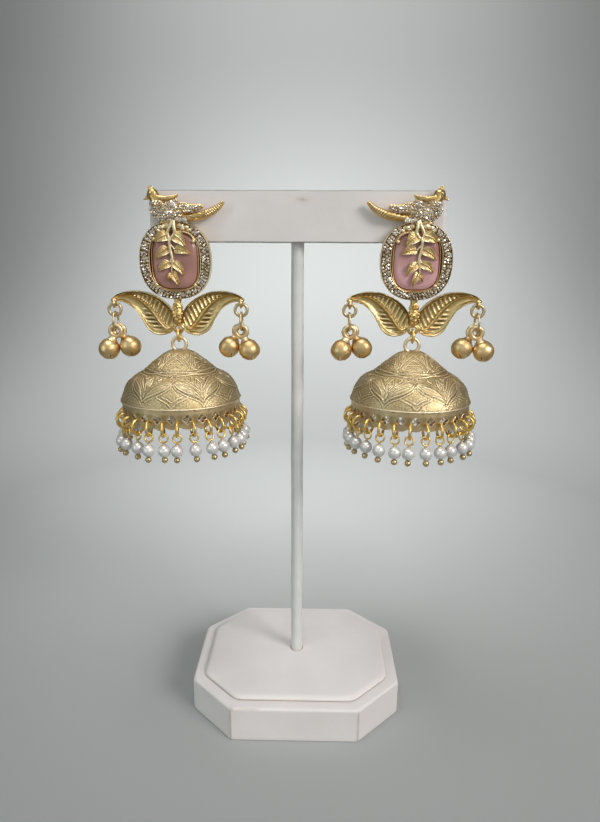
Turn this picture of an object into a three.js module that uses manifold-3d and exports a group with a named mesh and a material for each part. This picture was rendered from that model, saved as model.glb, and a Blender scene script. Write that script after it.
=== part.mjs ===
// A pair of jhumka earrings hung on a small T-bar display stand. Millimetres, +Z up, front towards -Y.
// Origin: middle of the plinth's underside. Each earring is built round the middle of its stone,
// seen from the front, with its bird's beak to the left, and the right one is its mirror image.
import * as THREE from 'three';
import { mergeVertices } from 'three/addons/utils/BufferGeometryUtils.js';
import Module from 'manifold-3d';

const wasm = await Module();
wasm.setup();

// Clearance between pieces that touch on the real thing
const gap = 0.3;

// Stand
const plinthWidth = 78.9;
const plinthDepth = 67;
const plinthHeight = 13.5;
const plinthCorner = 16.25;
const plinthBevel = 0.8;
const padInset = 4.2;
const padThickness = 2;
const poleDiameter = 4.5;
const poleSocket = 7;
const barLength = 100;
const barHeight = 16.8;
const barDepth = 12;
const barBevel = 1.2;
const barUnderside = 176.2;

// Where the earrings hang on the bar
const leftHang = -41.2;
const rightHang = 40.1;
const postDiameter = 1;
const postRise = 4.95;
const postTail = 3;

// Stone and the setting round it
const stoneWidth = 14.7;
const stoneHeight = 18.8;
const stoneThickness = 1.8;
const stoneBevel = 1;
const seatThickness = 1.5;
const seatLedge = 1;
const bezelWall = 0.5;
const bezelProud = 0.2;
const haloWidth = 24.4;
const haloHeight = 25.8;
const haloDepth = 3.8;
const haloChannel = 0.4;
const haloEdge = 0.7;
const prongDiameter = 1.5;
const cushionPower = 3;
const haloPower = 2.3;

// Bird on top of the halo
const birdLength = 26.7;
const birdThickness = 4.2;
const birdSink = 0.5;
const plumeThickness = 1.9;

// Leaf spray over the stone
const sprayWire = 0.9;
const sprayThickness = 0.9;

// Pair of leaves under the halo
const leafSpan = 46.4;
const leafHeight = 15.2;
const leafTop = 2.8;
const leafThickness = 1.9;
const leafBevel = 0.6;
const ribHeight = 0.4;
const ribWidth = 0.9;
const bossDiameter = 3.4;
const columnWidth = 3.2;
const tipWall = 0.6;
const tipWidth = 1.2;

// Rings that carry the bell
const hangDepth = 1.7;
const lugDrop = 12.85;
const lugOuter = 3.9;
const lugWire = 1;
const linkWire = 1;
const bellRingOuter = 6.1;
const bellRingWire = 1.2;

// Bell
const bellRadius = 20.85;
const bellHeight = 16.9;
const bellWall = 1;
const petalCount = 12;
const petalRelief = 0.35;

// Pierced rim and its drops
const rimHeight = 6.4;
const rimWall = 1;
const rimInset = 0.25;
const scallopDepth = 0.9;
const dropCount = 26;
const holeHeight = 3;
const holeWidth = 2.2;
const pearlDiameter = 4;
const dropLength = 7.6;
const dropSplay = 2;
const dropWire = 0.9;

// Ball charms at the leaf tips
const tipRingOuter = 5.3;
const tipRingWire = 1.1;
const charmLinkLength = 6.8;
const charmLinkPlay = 0.7;
const charmWire = 0.8;
const ballDiameter = 7.5;
const ballReach = 7.3;
const eyeOuter = 5.4;
const eyeWall = 1.1;
const eyeLength = 1;
const neckDiameter = 1;
const frontBallLean = 25;
const backBallLean = 39;

// Sides of round pieces
const ringSides = 10;
const wireSides = 5;
const beadSides = 10;
const cushionSides = 20;

// Worked out from the sizes above, all seen from the middle of the stone
const seatGap = gap;
const studBack = -(barDepth / 2 + seatGap);
const postDrop = haloHeight / 2 - (haloHeight - stoneHeight) / 4;
const stoneLevel = barUnderside + postRise - postDrop;
const tableDepth = seatThickness + gap + stoneThickness;
const leafLevel = -haloHeight / 2 + leafTop;
const lugLevel = leafLevel - lugDrop;
const lugRadius = (lugOuter - lugWire) / 2;
const linkReach = lugRadius + lugWire / 2 + gap + bellRingWire + gap + linkWire / 2;
const bellRingRadius = (bellRingOuter - bellRingWire) / 2;
const bellRingTop = lugLevel - linkReach + linkWire / 2 + gap + bellRingWire / 2;
const bellRingLevel = bellRingTop - bellRingRadius;
const crownLevel = bellRingLevel - bellRingRadius + bellRingWire / 4;
const ledgeLevel = crownLevel - bellHeight;
const rimRadius = bellRadius - rimInset;
const tipRingRadius = (tipRingOuter - tipRingWire) / 2;

// Places on the bird, as shares of its length from the middle of its body
const birdBody = { along: 0.195, up: 0.12 };
const birdHead = { along: -0.172, up: 0.213, radius: 0.08 };
const birdBeak = { along: -0.296, up: 0.15 };
const birdCrest = [{ along: -0.215, up: 0.315 }, { along: -0.175, up: 0.3 }];
const birdBack = [
  { along: -0.21, up: 0.1 }, { along: -0.13, up: 0.25 }, { along: -0.06, up: 0.19 },
  { along: 0.06, up: 0.18 }, { along: 0.139, up: 0.202 }, { along: 0.09, up: 0.1 },
];
const birdFeather = [
  { along: 0.03, up: 0.1 }, { along: 0.42, up: 0.101 }, { along: 0.438, up: 0.041 },
  { along: 0.243, up: -0.026 }, { along: 0.03, up: -0.06 },
];
const birdTail = [
  { along: 0.06, up: -0.02 }, { along: 0.285, up: -0.026 }, { along: 0.434, up: 0.022 },
  { along: 0.52, up: 0.03 }, { along: 0.62, up: 0.071 }, { along: 0.69, up: 0.135 },
  { along: 0.704, up: 0.105 }, { along: 0.69, up: 0.06 }, { along: 0.535, up: -0.049 },
  { along: 0.408, up: -0.086 }, { along: 0.06, up: -0.105 },
];

// Outline and midrib of one leaf, as shares of the half span and of the leaf's height
const leafOutline = [
  { out: 1, down: 0.2 }, { out: 0.9, down: 0.08 }, { out: 0.71, down: 0 }, { out: 0.48, down: 0.02 },
  { out: 0.28, down: 0.15 }, { out: 0.14, down: 0.32 }, { out: 0.06, down: 0.52 }, { out: 0.04, down: 0.75 },
  { out: 0.12, down: 0.94 }, { out: 0.3, down: 1 }, { out: 0.46, down: 0.89 }, { out: 0.57, down: 0.61 },
  { out: 0.68, down: 0.39 }, { out: 0.82, down: 0.26 }, { out: 0.93, down: 0.21 },
];
const leafMidrib = [
  { out: 0.78, down: 0.12 }, { out: 0.59, down: 0.2 }, { out: 0.4, down: 0.44 }, { out: 0.25, down: 0.8 },
];
const leafRibs = [
  { out: 0.56, down: 0.23, above: 0.13, below: 0.12, turn: 0.07 },
  { out: 0.43, down: 0.4, above: 0.18, below: 0.22, turn: 0.11 },
  { out: 0.33, down: 0.6, above: 0.18, below: 0.24, turn: 0.13 },
];
const tipPlace = { out: 0.945, down: 0.28 };

// Stem and leaves of the spray, as shares of half the stone's height
const sprayStem = [
  { x: -0.03, z: 0.8 }, { x: -0.15, z: 0.59 }, { x: -0.07, z: 0.35 }, { x: -0.05, z: 0.1 },
  { x: -0.14, z: -0.2 }, { x: -0.13, z: -0.4 },
];
const sprayEye = { z: 1, halfWidth: 0.12, top: 1.38 };
const sprayLeaves = [
  { x: -0.11, z: 0.9, tipX: -0.63, tipZ: 0.65, width: 0.36 },
  { x: 0.03, z: 0.9, tipX: 0.42, tipZ: 0.54, width: 0.4 },
  { x: -0.06, z: 0.42, tipX: 0.57, tipZ: 0.29, width: 0.23 },
  { x: -0.14, z: 0.46, tipX: -0.65, tipZ: 0.1, width: 0.3 },
  { x: -0.1, z: 0.03, tipX: -0.57, tipZ: -0.35, width: 0.28 },
  { x: -0.07, z: 0.04, tipX: 0.32, tipZ: -0.44, width: 0.25 },
  { x: -0.14, z: -0.25, tipX: 0.12, tipZ: -0.81, width: 0.25 },
];

// Prong places, as shares of half the stone's width and height
const prongPlaces = [
  { x: -0.97, z: 0.75 }, { x: 0.97, z: 0.75 }, { x: -0.97, z: -0.82 }, { x: 0.97, z: -0.82 },
];

// Outside of the bell from crown to ledge, as shares of its radius and height; rise is the petals' relief
const bellRows = [
  { radius: 0.16, down: 0, rise: 0 }, { radius: 0.375, down: 0.175, rise: 0 },
  { radius: 0.556, down: 0.32, rise: 0 }, { radius: 0.66, down: 0.41, rise: 0 },
  { radius: 0.665, down: 0.45, rise: 0 }, { radius: 0.8, down: 0.565, rise: -1 },
  { radius: 0.916, down: 0.745, rise: 1 }, { radius: 0.975, down: 0.89, rise: -1 },
  { radius: 1, down: 1, rise: 0 },
];
const bellInnerRows = [8, 6, 4, 1];

// Geometry helpers
function weld(geometry) {
  const bare = geometry.index ? geometry.toNonIndexed() : geometry.clone();
  bare.deleteAttribute('normal');
  bare.deleteAttribute('uv');
  const merged = mergeVertices(bare, 1e-4);
  const corners = merged.index.array;
  const kept = [];
  for (let i = 0; i < corners.length; i += 3) {
    const [a, b, c] = [corners[i], corners[i + 1], corners[i + 2]];
    if (a !== b && b !== c && c !== a) kept.push(a, b, c);
  }
  merged.setIndex(kept);
  return merged;
}

function flipFaces(geometry) {
  const corners = Array.from(geometry.index.array);
  for (let i = 0; i < corners.length; i += 3) {
    [corners[i + 1], corners[i + 2]] = [corners[i + 2], corners[i + 1]];
  }
  geometry.setIndex(corners);
  return geometry;
}

function volumeOf(geometry) {
  const place = geometry.attributes.position;
  const corners = geometry.index.array;
  const [a, b, c] = [new THREE.Vector3(), new THREE.Vector3(), new THREE.Vector3()];
  let sum = 0;
  for (let i = 0; i < corners.length; i += 3) {
    a.fromBufferAttribute(place, corners[i]);
    b.fromBufferAttribute(place, corners[i + 1]);
    c.fromBufferAttribute(place, corners[i + 2]);
    sum += a.dot(b.cross(c)) / 6;
  }
  return sum;
}

// Closed skin over a row of equal loops, joined end to end or closed by flat ends; an end that isn't
// convex brings its own triangles
function skin(loops, joinEnds = false, endFaces = null) {
  const count = loops[0].length;
  const positions = loops.flat().flatMap((point) => [point.x, point.y, point.z]);
  const corners = [];
  const rows = joinEnds ? loops.length : loops.length - 1;
  for (let row = 0; row < rows; row += 1) {
    const next = (row + 1) % loops.length;
    for (let i = 0; i < count; i += 1) {
      const j = (i + 1) % count;
      corners.push(row * count + i, row * count + j, next * count + j);
      corners.push(row * count + i, next * count + j, next * count + i);
    }
  }
  if (!joinEnds) {
    const end = (loops.length - 1) * count;
    const fan = Array.from({ length: count - 2 }, (_, i) => [0, i + 1, i + 2]);
    for (const [a, b, c] of endFaces ?? fan) corners.push(a, c, b, end + a, end + b, end + c);
  }
  const geometry = new THREE.BufferGeometry();
  geometry.setAttribute('position', new THREE.Float32BufferAttribute(positions, 3));
  geometry.setIndex(corners);
  return volumeOf(geometry) < 0 ? flipFaces(geometry) : geometry;
}

function toSolid(geometry) {
  const welded = geometry.attributes.normal || geometry.attributes.uv ? weld(geometry) : geometry;
  return new wasm.Manifold(new wasm.Mesh({
    numProp: 3,
    vertProperties: new Float32Array(welded.attributes.position.array),
    triVerts: new Uint32Array(welded.index.array),
  }));
}

function toGeometry(solid) {
  const mesh = solid.getMesh();
  const geometry = new THREE.BufferGeometry();
  geometry.setAttribute('position', new THREE.Float32BufferAttribute(mesh.vertProperties, 3));
  geometry.setIndex(Array.from(mesh.triVerts));
  return geometry;
}

function join(geometries) {
  return toGeometry(geometries.map(toSolid).reduce((whole, solid) => whole.add(solid)));
}

function cut(geometry, tools) {
  return toGeometry(tools.map(toSolid).reduce((whole, tool) => whole.subtract(tool), toSolid(geometry)));
}

// Round solid about the vertical axis from rows of { r, z }, first and last on the axis or joined in a ring
function turned(profile, sides) {
  const points = profile.map((row) => new THREE.Vector2(row.r, row.z));
  const closed = weld(new THREE.LatheGeometry(points, sides).rotateX(Math.PI / 2));
  return volumeOf(closed) < 0 ? flipFaces(closed) : closed;
}

// Short tube about the vertical axis
function collar(outer, inner, length) {
  const wall = [[inner, -length], [outer, -length], [outer, length], [inner, length], [inner, -length]];
  return turned(wall.map(([across, level]) => ({ r: across / 2, z: level / 2 })), ringSides);
}

function rod(diameter, length, sides) {
  return new THREE.CylinderGeometry(diameter / 2, diameter / 2, length, sides);
}

function ball(diameter, sides, rows) {
  return weld(new THREE.SphereGeometry(diameter / 2, sides, rows));
}

// Round wire ring seen as a circle from the front, by its outer diameter
function ring(outer, wire) {
  return weld(new THREE.TorusGeometry((outer - wire) / 2, wire / 2, wireSides, ringSides).rotateX(Math.PI / 2));
}

// Round wire ring standing edge-on to the viewer, by the radius of its wire's middle
function edgeLink(radius, wire) {
  return weld(new THREE.TorusGeometry(radius, wire / 2, wireSides, ringSides).rotateY(Math.PI / 2));
}

// Plate from an outline seen from the front, with its back at the given depth and a sloped front edge
function plate(outline, back, thickness, bevel) {
  const points = THREE.ShapeUtils.area(outline) < 0 ? [...outline].reverse() : outline;
  const count = points.length;
  const front = points.map((point, i) => {
    const along = points[(i + 1) % count].clone().sub(points[(i + count - 1) % count]);
    return point.clone().add(new THREE.Vector2(-along.y, along.x).setLength(bevel));
  });
  const faces = THREE.ShapeUtils.triangulateShape(points, []).map(([a, b, c]) => {
    const turn = THREE.ShapeUtils.area([points[a], points[b], points[c]]);
    return turn < 0 ? [a, c, b] : [a, b, c];
  });
  const level = (place, depth) => place.map((point) => new THREE.Vector3(point.x, -depth, point.y));
  const edge = back + thickness - bevel;
  return skin([level(points, back), level(points, edge), level(front, back + thickness)], false, faces);
}

// Cone between two places, its point at the second
function spike(from, to, diameter, sides) {
  const along = to.clone().sub(from);
  const turn = new THREE.Quaternion().setFromUnitVectors(new THREE.Vector3(0, 1, 0), along.clone().normalize());
  const cone = new THREE.ConeGeometry(diameter / 2, along.length(), sides).applyQuaternion(turn);
  return weld(cone.translate(...from.clone().add(to).divideScalar(2)));
}

// Three-sided raised rib between two places on a front face
function ridge(from, to, width, face, height) {
  const along = new THREE.Vector2(to.x - from.x, to.z - from.z);
  const side = new THREE.Vector2(-along.y, along.x).setLength(width / 2);
  const root = face - height;
  const end = (point, share) => [
    new THREE.Vector3(point.x + side.x * share, -root, point.z + side.y * share),
    new THREE.Vector3(point.x - side.x * share, -root, point.z - side.y * share),
    new THREE.Vector3(point.x, -face - height, point.z),
  ];
  return skin([end(from, 1), end(to, 0.5)]);
}

function tube(points, diameter, sides, steps) {
  const section = new THREE.Shape();
  for (let i = 0; i < sides; i += 1) {
    const turn = (i / sides) * Math.PI * 2;
    const [x, y] = [(Math.cos(turn) * diameter) / 2, (Math.sin(turn) * diameter) / 2];
    if (i === 0) section.moveTo(x, y);
    else section.lineTo(x, y);
  }
  const path = new THREE.CatmullRomCurve3(points);
  return weld(new THREE.ExtrudeGeometry(section, { steps, extrudePath: path, curveSegments: 1 }));
}

function cushionLoop(halfWidth, halfHeight, depth, power) {
  const loop = [];
  for (let i = 0; i < cushionSides; i += 1) {
    const turn = ((i + 0.5) / cushionSides) * Math.PI * 2;
    const [c, s] = [Math.cos(turn), Math.sin(turn)];
    const x = halfWidth * Math.sign(c) * Math.abs(c) ** (2 / power);
    const z = halfHeight * Math.sign(s) * Math.abs(s) ** (2 / power);
    loop.push(new THREE.Vector3(x, -depth, z));
  }
  return loop;
}

// Stand
function octagon(inset) {
  const [x, y] = [plinthWidth / 2 - inset, plinthDepth / 2 - inset];
  const corner = plinthCorner - inset * (2 - Math.SQRT2);
  return new THREE.Shape([
    new THREE.Vector2(x - corner, -y), new THREE.Vector2(x, -y + corner),
    new THREE.Vector2(x, y - corner), new THREE.Vector2(x - corner, y),
    new THREE.Vector2(-x + corner, y), new THREE.Vector2(-x, y - corner),
    new THREE.Vector2(-x, -y + corner), new THREE.Vector2(-x + corner, -y),
  ]);
}

function slab(inset, floor, height, bevel) {
  const geometry = new THREE.ExtrudeGeometry(octagon(inset + bevel), {
    depth: height - bevel * 2,
    bevelThickness: bevel,
    bevelSize: bevel,
    bevelSegments: 1,
  });
  return weld(geometry.translate(0, 0, floor + bevel));
}

function poleBore(bottom, top) {
  const bore = rod(poleDiameter + gap * 2, top - bottom, ringSides).rotateX(Math.PI / 2);
  return bore.translate(0, 0, (top + bottom) / 2);
}

function plinth() {
  const socket = poleBore(plinthHeight - poleSocket, plinthHeight + 1);
  return cut(slab(0, 0, plinthHeight, plinthBevel), [socket]);
}

function pad() {
  const floor = plinthHeight + seatGap;
  const bore = poleBore(floor - 1, floor + padThickness + 1);
  return cut(slab(padInset, floor, padThickness, padThickness * 0.35), [bore]);
}

function pole() {
  const bottom = plinthHeight - poleSocket + seatGap;
  const top = barUnderside + poleSocket - seatGap;
  return rod(poleDiameter, top - bottom, ringSides).rotateX(Math.PI / 2).translate(0, 0, (top + bottom) / 2);
}

function crossBar() {
  const [y, z] = [barDepth / 2 - barBevel, barHeight / 2 - barBevel];
  const section = new THREE.Shape([
    new THREE.Vector2(-y, -z), new THREE.Vector2(y, -z), new THREE.Vector2(y, z), new THREE.Vector2(-y, z),
  ]);
  const body = new THREE.ExtrudeGeometry(section, {
    depth: barLength - barBevel * 2,
    bevelThickness: barBevel,
    bevelSize: barBevel,
    bevelSegments: 2,
  });
  body.translate(0, 0, barBevel - barLength / 2);
  body.applyMatrix4(new THREE.Matrix4().set(0, 0, 1, 0, 1, 0, 0, 0, 0, 1, 0, barUnderside + barHeight / 2, 0, 0, 0, 1));
  const holes = [leftHang, rightHang].map((place) => {
    const hole = rod(postDiameter + gap * 2, barDepth + 2, ringSides);
    return hole.translate(place, 0, barUnderside + postRise);
  });
  return cut(body, [...holes, poleBore(barUnderside - 1, barUnderside + poleSocket)]);
}

// Setting and stone
function halo() {
  const [stoneX, stoneZ] = [stoneWidth / 2, stoneHeight / 2];
  const frame = (extra, depth) => cushionLoop(stoneX + extra, stoneZ + extra, depth, cushionPower);
  const channel = gap + bezelWall + haloChannel;
  const bezelTop = tableDepth - stoneBevel + bezelProud;
  return skin([
    frame(-seatLedge, 0),
    frame(-seatLedge, seatThickness),
    frame(gap, seatThickness),
    frame(gap, bezelTop),
    frame(channel, bezelTop),
    cushionLoop(stoneX + channel, stoneZ + channel, haloDepth, cushionPower),
    cushionLoop(haloWidth / 2 - haloEdge, haloHeight / 2 - haloEdge, haloDepth, haloPower),
    cushionLoop(haloWidth / 2, haloHeight / 2, haloDepth - haloEdge, haloPower),
    cushionLoop(haloWidth / 2, haloHeight / 2, 0, haloPower),
  ], true);
}

function prong(place, extra) {
  const bead = ball(prongDiameter + extra * 2, 8, 4);
  return bead.translate((place.x * stoneWidth) / 2, -tableDepth, (place.z * stoneHeight) / 2);
}

function stone() {
  const [x, z] = [stoneWidth / 2, stoneHeight / 2];
  const back = seatThickness + gap;
  const body = skin([
    cushionLoop(x - stoneBevel, z - stoneBevel, back, cushionPower),
    cushionLoop(x, z, back + (stoneThickness - stoneBevel) / 2, cushionPower),
    cushionLoop(x, z, tableDepth - stoneBevel, cushionPower),
    cushionLoop(x - stoneBevel, z - stoneBevel, tableDepth, cushionPower),
  ]);
  return cut(body, prongPlaces.map((place) => prong(place, gap)));
}

function post() {
  const length = barDepth + postTail + seatGap + seatThickness;
  return rod(postDiameter, length, 8).translate(0, length / 2 - seatThickness, postDrop);
}

// Bird
function birdPlace(spot) {
  const [x, z] = [-0.071 * birdLength, haloHeight / 2 - birdSink + birdBody.up * birdLength];
  return new THREE.Vector2(x + spot.along * birdLength, z + spot.up * birdLength);
}

function bird() {
  const centre = -birdThickness / 2;
  const at = (spot) => {
    const place = birdPlace(spot);
    return new THREE.Vector3(place.x, centre, place.y);
  };
  const head = at(birdHead);
  const skull = birdHead.radius * birdLength;
  const body = ball(2, 10, 5).scale(birdBody.along * birdLength, birdThickness / 2, birdBody.up * birdLength);
  body.translate(...at({ along: 0, up: 0 }));
  const beak = spike(head, at(birdBeak), skull, 5);
  const crest = birdCrest.map((spot) => spike(head, at(spot), skull * 0.8, 4));
  const plume = (spots) => plate(spots.map(birdPlace), birdThickness * 0.2, plumeThickness, 0.4);
  const round = ball(skull * 2, 8, 5).translate(...head);
  return [body, round, beak, ...crest, plume(birdBack), plume(birdFeather), plume(birdTail)];
}

// Spray of leaves lying over the stone, carried by its stem from under the bird
function sprayLeaf(leaf) {
  const unit = stoneHeight / 2;
  const base = new THREE.Vector2(leaf.x, leaf.z).multiplyScalar(unit);
  const tip = new THREE.Vector2(leaf.tipX, leaf.tipZ).multiplyScalar(unit);
  const along = tip.clone().sub(base);
  const side = new THREE.Vector2(-along.y, along.x).setLength((leaf.width * unit) / 2);
  const floor = tableDepth + gap;
  const at = (share, off, rise) => {
    const place = base.clone().addScaledVector(along, share).addScaledVector(side, off);
    return [place.x, -floor - rise, place.y];
  };
  const edge = [at(-0.06, 0, 0), at(0.25, 0.95, 0), at(0.6, 0.75, 0), at(1, 0, 0), at(0.6, -0.75, 0),
    at(0.25, -0.95, 0)];
  const spine = [at(0.1, 0, sprayThickness), at(0.75, 0, sprayThickness)];
  const geometry = new THREE.BufferGeometry();
  geometry.setAttribute('position', new THREE.Float32BufferAttribute([...edge, ...spine].flat(), 3));
  geometry.setIndex([0, 1, 6, 1, 7, 6, 1, 2, 7, 2, 3, 7, 3, 4, 7, 4, 5, 7, 5, 6, 7, 5, 0, 6,
    0, 2, 1, 0, 3, 2, 0, 4, 3, 0, 5, 4]);
  return volumeOf(geometry) < 0 ? flipFaces(geometry) : geometry;
}

function spray() {
  const unit = stoneHeight / 2;
  const depth = tableDepth + gap + sprayWire / 2;
  const at = (x, z, lift) => new THREE.Vector3(x * unit, -depth + lift, z * unit);
  const stem = sprayStem.map((spot) => at(spot.x, spot.z, 0));
  const strands = [-1, 1].map((side) => tube([
    at(side * 0.02, sprayEye.top, depth - haloDepth - sprayWire * 0.1),
    at(side * sprayEye.halfWidth, sprayEye.z, 0),
    at(sprayStem[0].x, sprayStem[0].z - 0.04, 0),
  ], sprayWire * 0.85, wireSides, 3));
  return [tube(stem, sprayWire, wireSides, 5), ...strands, ...sprayLeaves.map(sprayLeaf)];
}

// Pair of leaves
function leafPlace(side, spot) {
  return new THREE.Vector2((side * spot.out * leafSpan) / 2, leafLevel - spot.down * leafHeight);
}

function leaf(side) {
  const outline = leafOutline.map((spot) => leafPlace(side, spot));
  const body = plate(outline, 0, leafThickness, leafBevel);
  const midrib = leafMidrib.map((spot) => {
    const place = leafPlace(side, spot);
    return new THREE.Vector3(place.x, -leafThickness, place.y);
  });
  const ribs = leafRibs.flatMap((rib) => {
    const foot = leafPlace(side, rib);
    const root = { x: foot.x, z: foot.y };
    const over = leafPlace(side, { out: rib.out - rib.above * 0.2, down: rib.down - rib.above });
    const under = leafPlace(side, { out: rib.out + rib.turn, down: rib.down + rib.below });
    return [over, under].map((end) => ridge(root, { x: end.x, z: end.y }, ribWidth, leafThickness, ribHeight));
  });
  return [body, tube(midrib, ribWidth, wireSides, 3), ...ribs];
}

function tipPoint(side) {
  const place = leafPlace(side, tipPlace);
  return new THREE.Vector3(place.x, -hangDepth, place.y);
}

function tipRingPoint(side) {
  return tipPoint(side).add(new THREE.Vector3(0, 0, -tipRingRadius));
}

function leafPair() {
  const top = -haloHeight / 2 + haloEdge;
  const column = plate([
    new THREE.Vector2(-columnWidth * 0.3, top), new THREE.Vector2(-columnWidth / 2, lugLevel + lugRadius),
    new THREE.Vector2(columnWidth / 2, lugLevel + lugRadius), new THREE.Vector2(columnWidth * 0.3, top),
  ], 0, leafThickness, 0);
  const boss = ball(bossDiameter, beadSides, 4).translate(0, -leafThickness, leafLevel - leafHeight * 0.36);
  const lug = collar(lugOuter, lugOuter - lugWire * 2, lugWire).rotateX(Math.PI / 2);
  lug.translate(0, -hangDepth, lugLevel);
  const tips = [-1, 1].map((side) => {
    const hole = tipRingWire + gap * 4;
    return collar(hole + tipWall * 2, hole, tipWidth).rotateY(Math.PI / 2).translate(...tipPoint(side));
  });
  return [column, boss, lug, ...tips, ...leaf(-1), ...leaf(1)];
}

function stud() {
  const prongs = prongPlaces.map((place) => prong(place, 0));
  return join([halo(), post(), ...prongs, ...bird(), ...spray(), ...leafPair()]);
}

// Bell
function bellPoint(row, column) {
  const turn = (column / (petalCount * 2)) * Math.PI * 2;
  const rise = row.rise * petalRelief * (column % 2 === 0 ? -1 : 1);
  const radius = row.radius * bellRadius + Math.min(rise, petalRelief);
  return new THREE.Vector3(radius * Math.sin(turn), -radius * Math.cos(turn), crownLevel - row.down * bellHeight);
}

function bell() {
  const columns = Array.from({ length: petalCount * 2 }, (_, i) => i);
  const outside = bellRows.map((row) => columns.map((column) => bellPoint(row, column)));
  const inside = bellInnerRows.map((index) => {
    const row = bellRows[index];
    const slope = index === bellRows.length - 1 ? 0 : 0.75;
    const radius = row.radius * bellRadius - bellWall * (slope > 0 ? 0.9 : 1);
    const level = crownLevel - row.down * bellHeight - bellWall * slope;
    return columns.map((column) => {
      const turn = (column / columns.length) * Math.PI * 2;
      return new THREE.Vector3(radius * Math.sin(turn), -radius * Math.cos(turn), level);
    });
  });
  const dome = skin([...outside, ...inside]);
  const eye = ring(bellRingOuter, bellRingWire).translate(0, 0, bellRingLevel);
  return join([dome, eye]).translate(0, -hangDepth, 0);
}

// Pierced rim with its drops, in one skin: each drop's wire grows from a foot in the rim's lower edge
function rimPoint(turn, level, radius) {
  return new THREE.Vector3(radius * Math.sin(turn), -radius * Math.cos(turn), level);
}

// Wire and bead of one drop as loops of points from the foot down, leaning outwards
function dropLoops(turn, foot) {
  const aside = new THREE.Vector3(Math.cos(turn), Math.sin(turn), 0);
  const start = rimPoint(turn, foot, rimRadius - rimWall / 2);
  const middle = rimPoint(turn, foot - dropLength, rimRadius - rimWall / 2 + dropSplay);
  const down = middle.clone().sub(start).normalize();
  const outward = new THREE.Vector3().crossVectors(down, aside);
  const half = pearlDiameter / 2;
  const circle = (reach, radius, sides) => Array.from({ length: sides }, (_, i) => {
    const around = (i / sides + 1 / 8) * Math.PI * 2;
    const point = middle.clone().addScaledVector(down, reach);
    point.addScaledVector(aside, radius * Math.cos(around));
    return point.addScaledVector(outward, radius * Math.sin(around));
  });
  const bead = [50, 90, 130].map((angle) => {
    const tilt = THREE.MathUtils.degToRad(angle);
    return circle(-half * Math.cos(tilt), half * Math.sin(tilt), beadSides);
  });
  return [circle(-half * 0.9, dropWire * 0.7, 4), ...bead, [middle.clone().addScaledVector(down, half)]];
}

function fringe() {
  const top = ledgeLevel - gap;
  const low = top - rimHeight;
  const middle = low + rimHeight / 2;
  const step = (Math.PI * 2) / dropCount;
  const points = [];
  const corners = [];
  const put = (point) => points.push(point) - 1;
  const zip = (upper, lower) => {
    let [i, j] = [0, 0];
    while (i < upper.length || j < lower.length) {
      const [a, b] = [upper[i % upper.length], lower[j % lower.length]];
      if (lower.length > 1 && (j + 1) * upper.length <= (i + 1) * lower.length && j < lower.length) {
        j += 1;
        corners.push(a, lower[j % lower.length], b);
      } else if (i < upper.length) {
        i += 1;
        corners.push(a, upper[i % upper.length], b);
      } else {
        j += 1;
      }
    }
  };
  const turns = Array.from({ length: dropCount }, (_, i) => i * step);
  const walls = turns.map((turn) => [rimRadius, rimRadius - rimWall].map((radius) => {
    const at = (aside, level) => put(rimPoint(turn + aside / rimRadius, level, radius));
    return {
      top: at((-step / 2) * rimRadius, top),
      low: at((-step / 2) * rimRadius, low + scallopDepth),
      footLeft: at(-dropWire / 2, low),
      footRight: at(dropWire / 2, low),
      holeTop: at(0, middle + holeHeight / 2),
      holeLeft: at(-holeWidth / 2, middle),
      holeLow: at(0, middle - holeHeight / 2),
      holeRight: at(holeWidth / 2, middle),
    };
  }));
  walls.forEach((here, i) => {
    const next = walls[(i + 1) % dropCount];
    for (const wall of [0, 1]) {
      const [left, right] = [here[wall], next[wall]];
      const faces = [
        [left.top, left.low, left.holeLeft], [left.top, left.holeLeft, left.holeTop],
        [left.top, left.holeTop, right.top], [right.top, left.holeTop, left.holeRight],
        [right.top, left.holeRight, right.low], [right.low, left.holeRight, left.holeLow],
        [right.low, left.holeLow, left.footRight], [left.footRight, left.holeLow, left.footLeft],
        [left.footLeft, left.holeLow, left.low], [left.low, left.holeLow, left.holeLeft],
      ];
      for (const [a, b, c] of faces) corners.push(a, ...(wall === 0 ? [b, c] : [c, b]));
    }
    const bridge = (from, a, to, b) => {
      corners.push(from[0][a], to[1][b], from[1][a], from[0][a], to[0][b], to[1][b]);
    };
    bridge(here, 'top', next, 'top');
    bridge(here, 'footLeft', here, 'low');
    bridge(next, 'low', here, 'footRight');
    bridge(here, 'holeTop', here, 'holeLeft');
    bridge(here, 'holeLeft', here, 'holeLow');
    bridge(here, 'holeLow', here, 'holeRight');
    bridge(here, 'holeRight', here, 'holeTop');
    const [outer, inner] = here;
    const foot = [outer.footRight, outer.footLeft, inner.footLeft, inner.footRight];
    const loops = [foot, ...dropLoops(turns[i], low).map((loop) => loop.map(put))];
    for (let row = 1; row < loops.length; row += 1) zip(loops[row - 1], loops[row]);
  });
  const geometry = new THREE.BufferGeometry();
  geometry.setAttribute('position', new THREE.Float32BufferAttribute(points.flatMap((spot) => [...spot]), 3));
  geometry.setIndex(corners);
  return geometry.translate(0, -hangDepth, 0);
}

// Ball charms
function charmLink() {
  const top = -tipRingRadius + tipRingWire / 2 + gap + charmWire / 2;
  const low = top - charmLinkLength + charmWire;
  const eyeTop = low + charmWire / 2 + charmLinkPlay + eyeWall;
  return { top, low, eyeTop, half: (top - low) / 2 };
}

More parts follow.
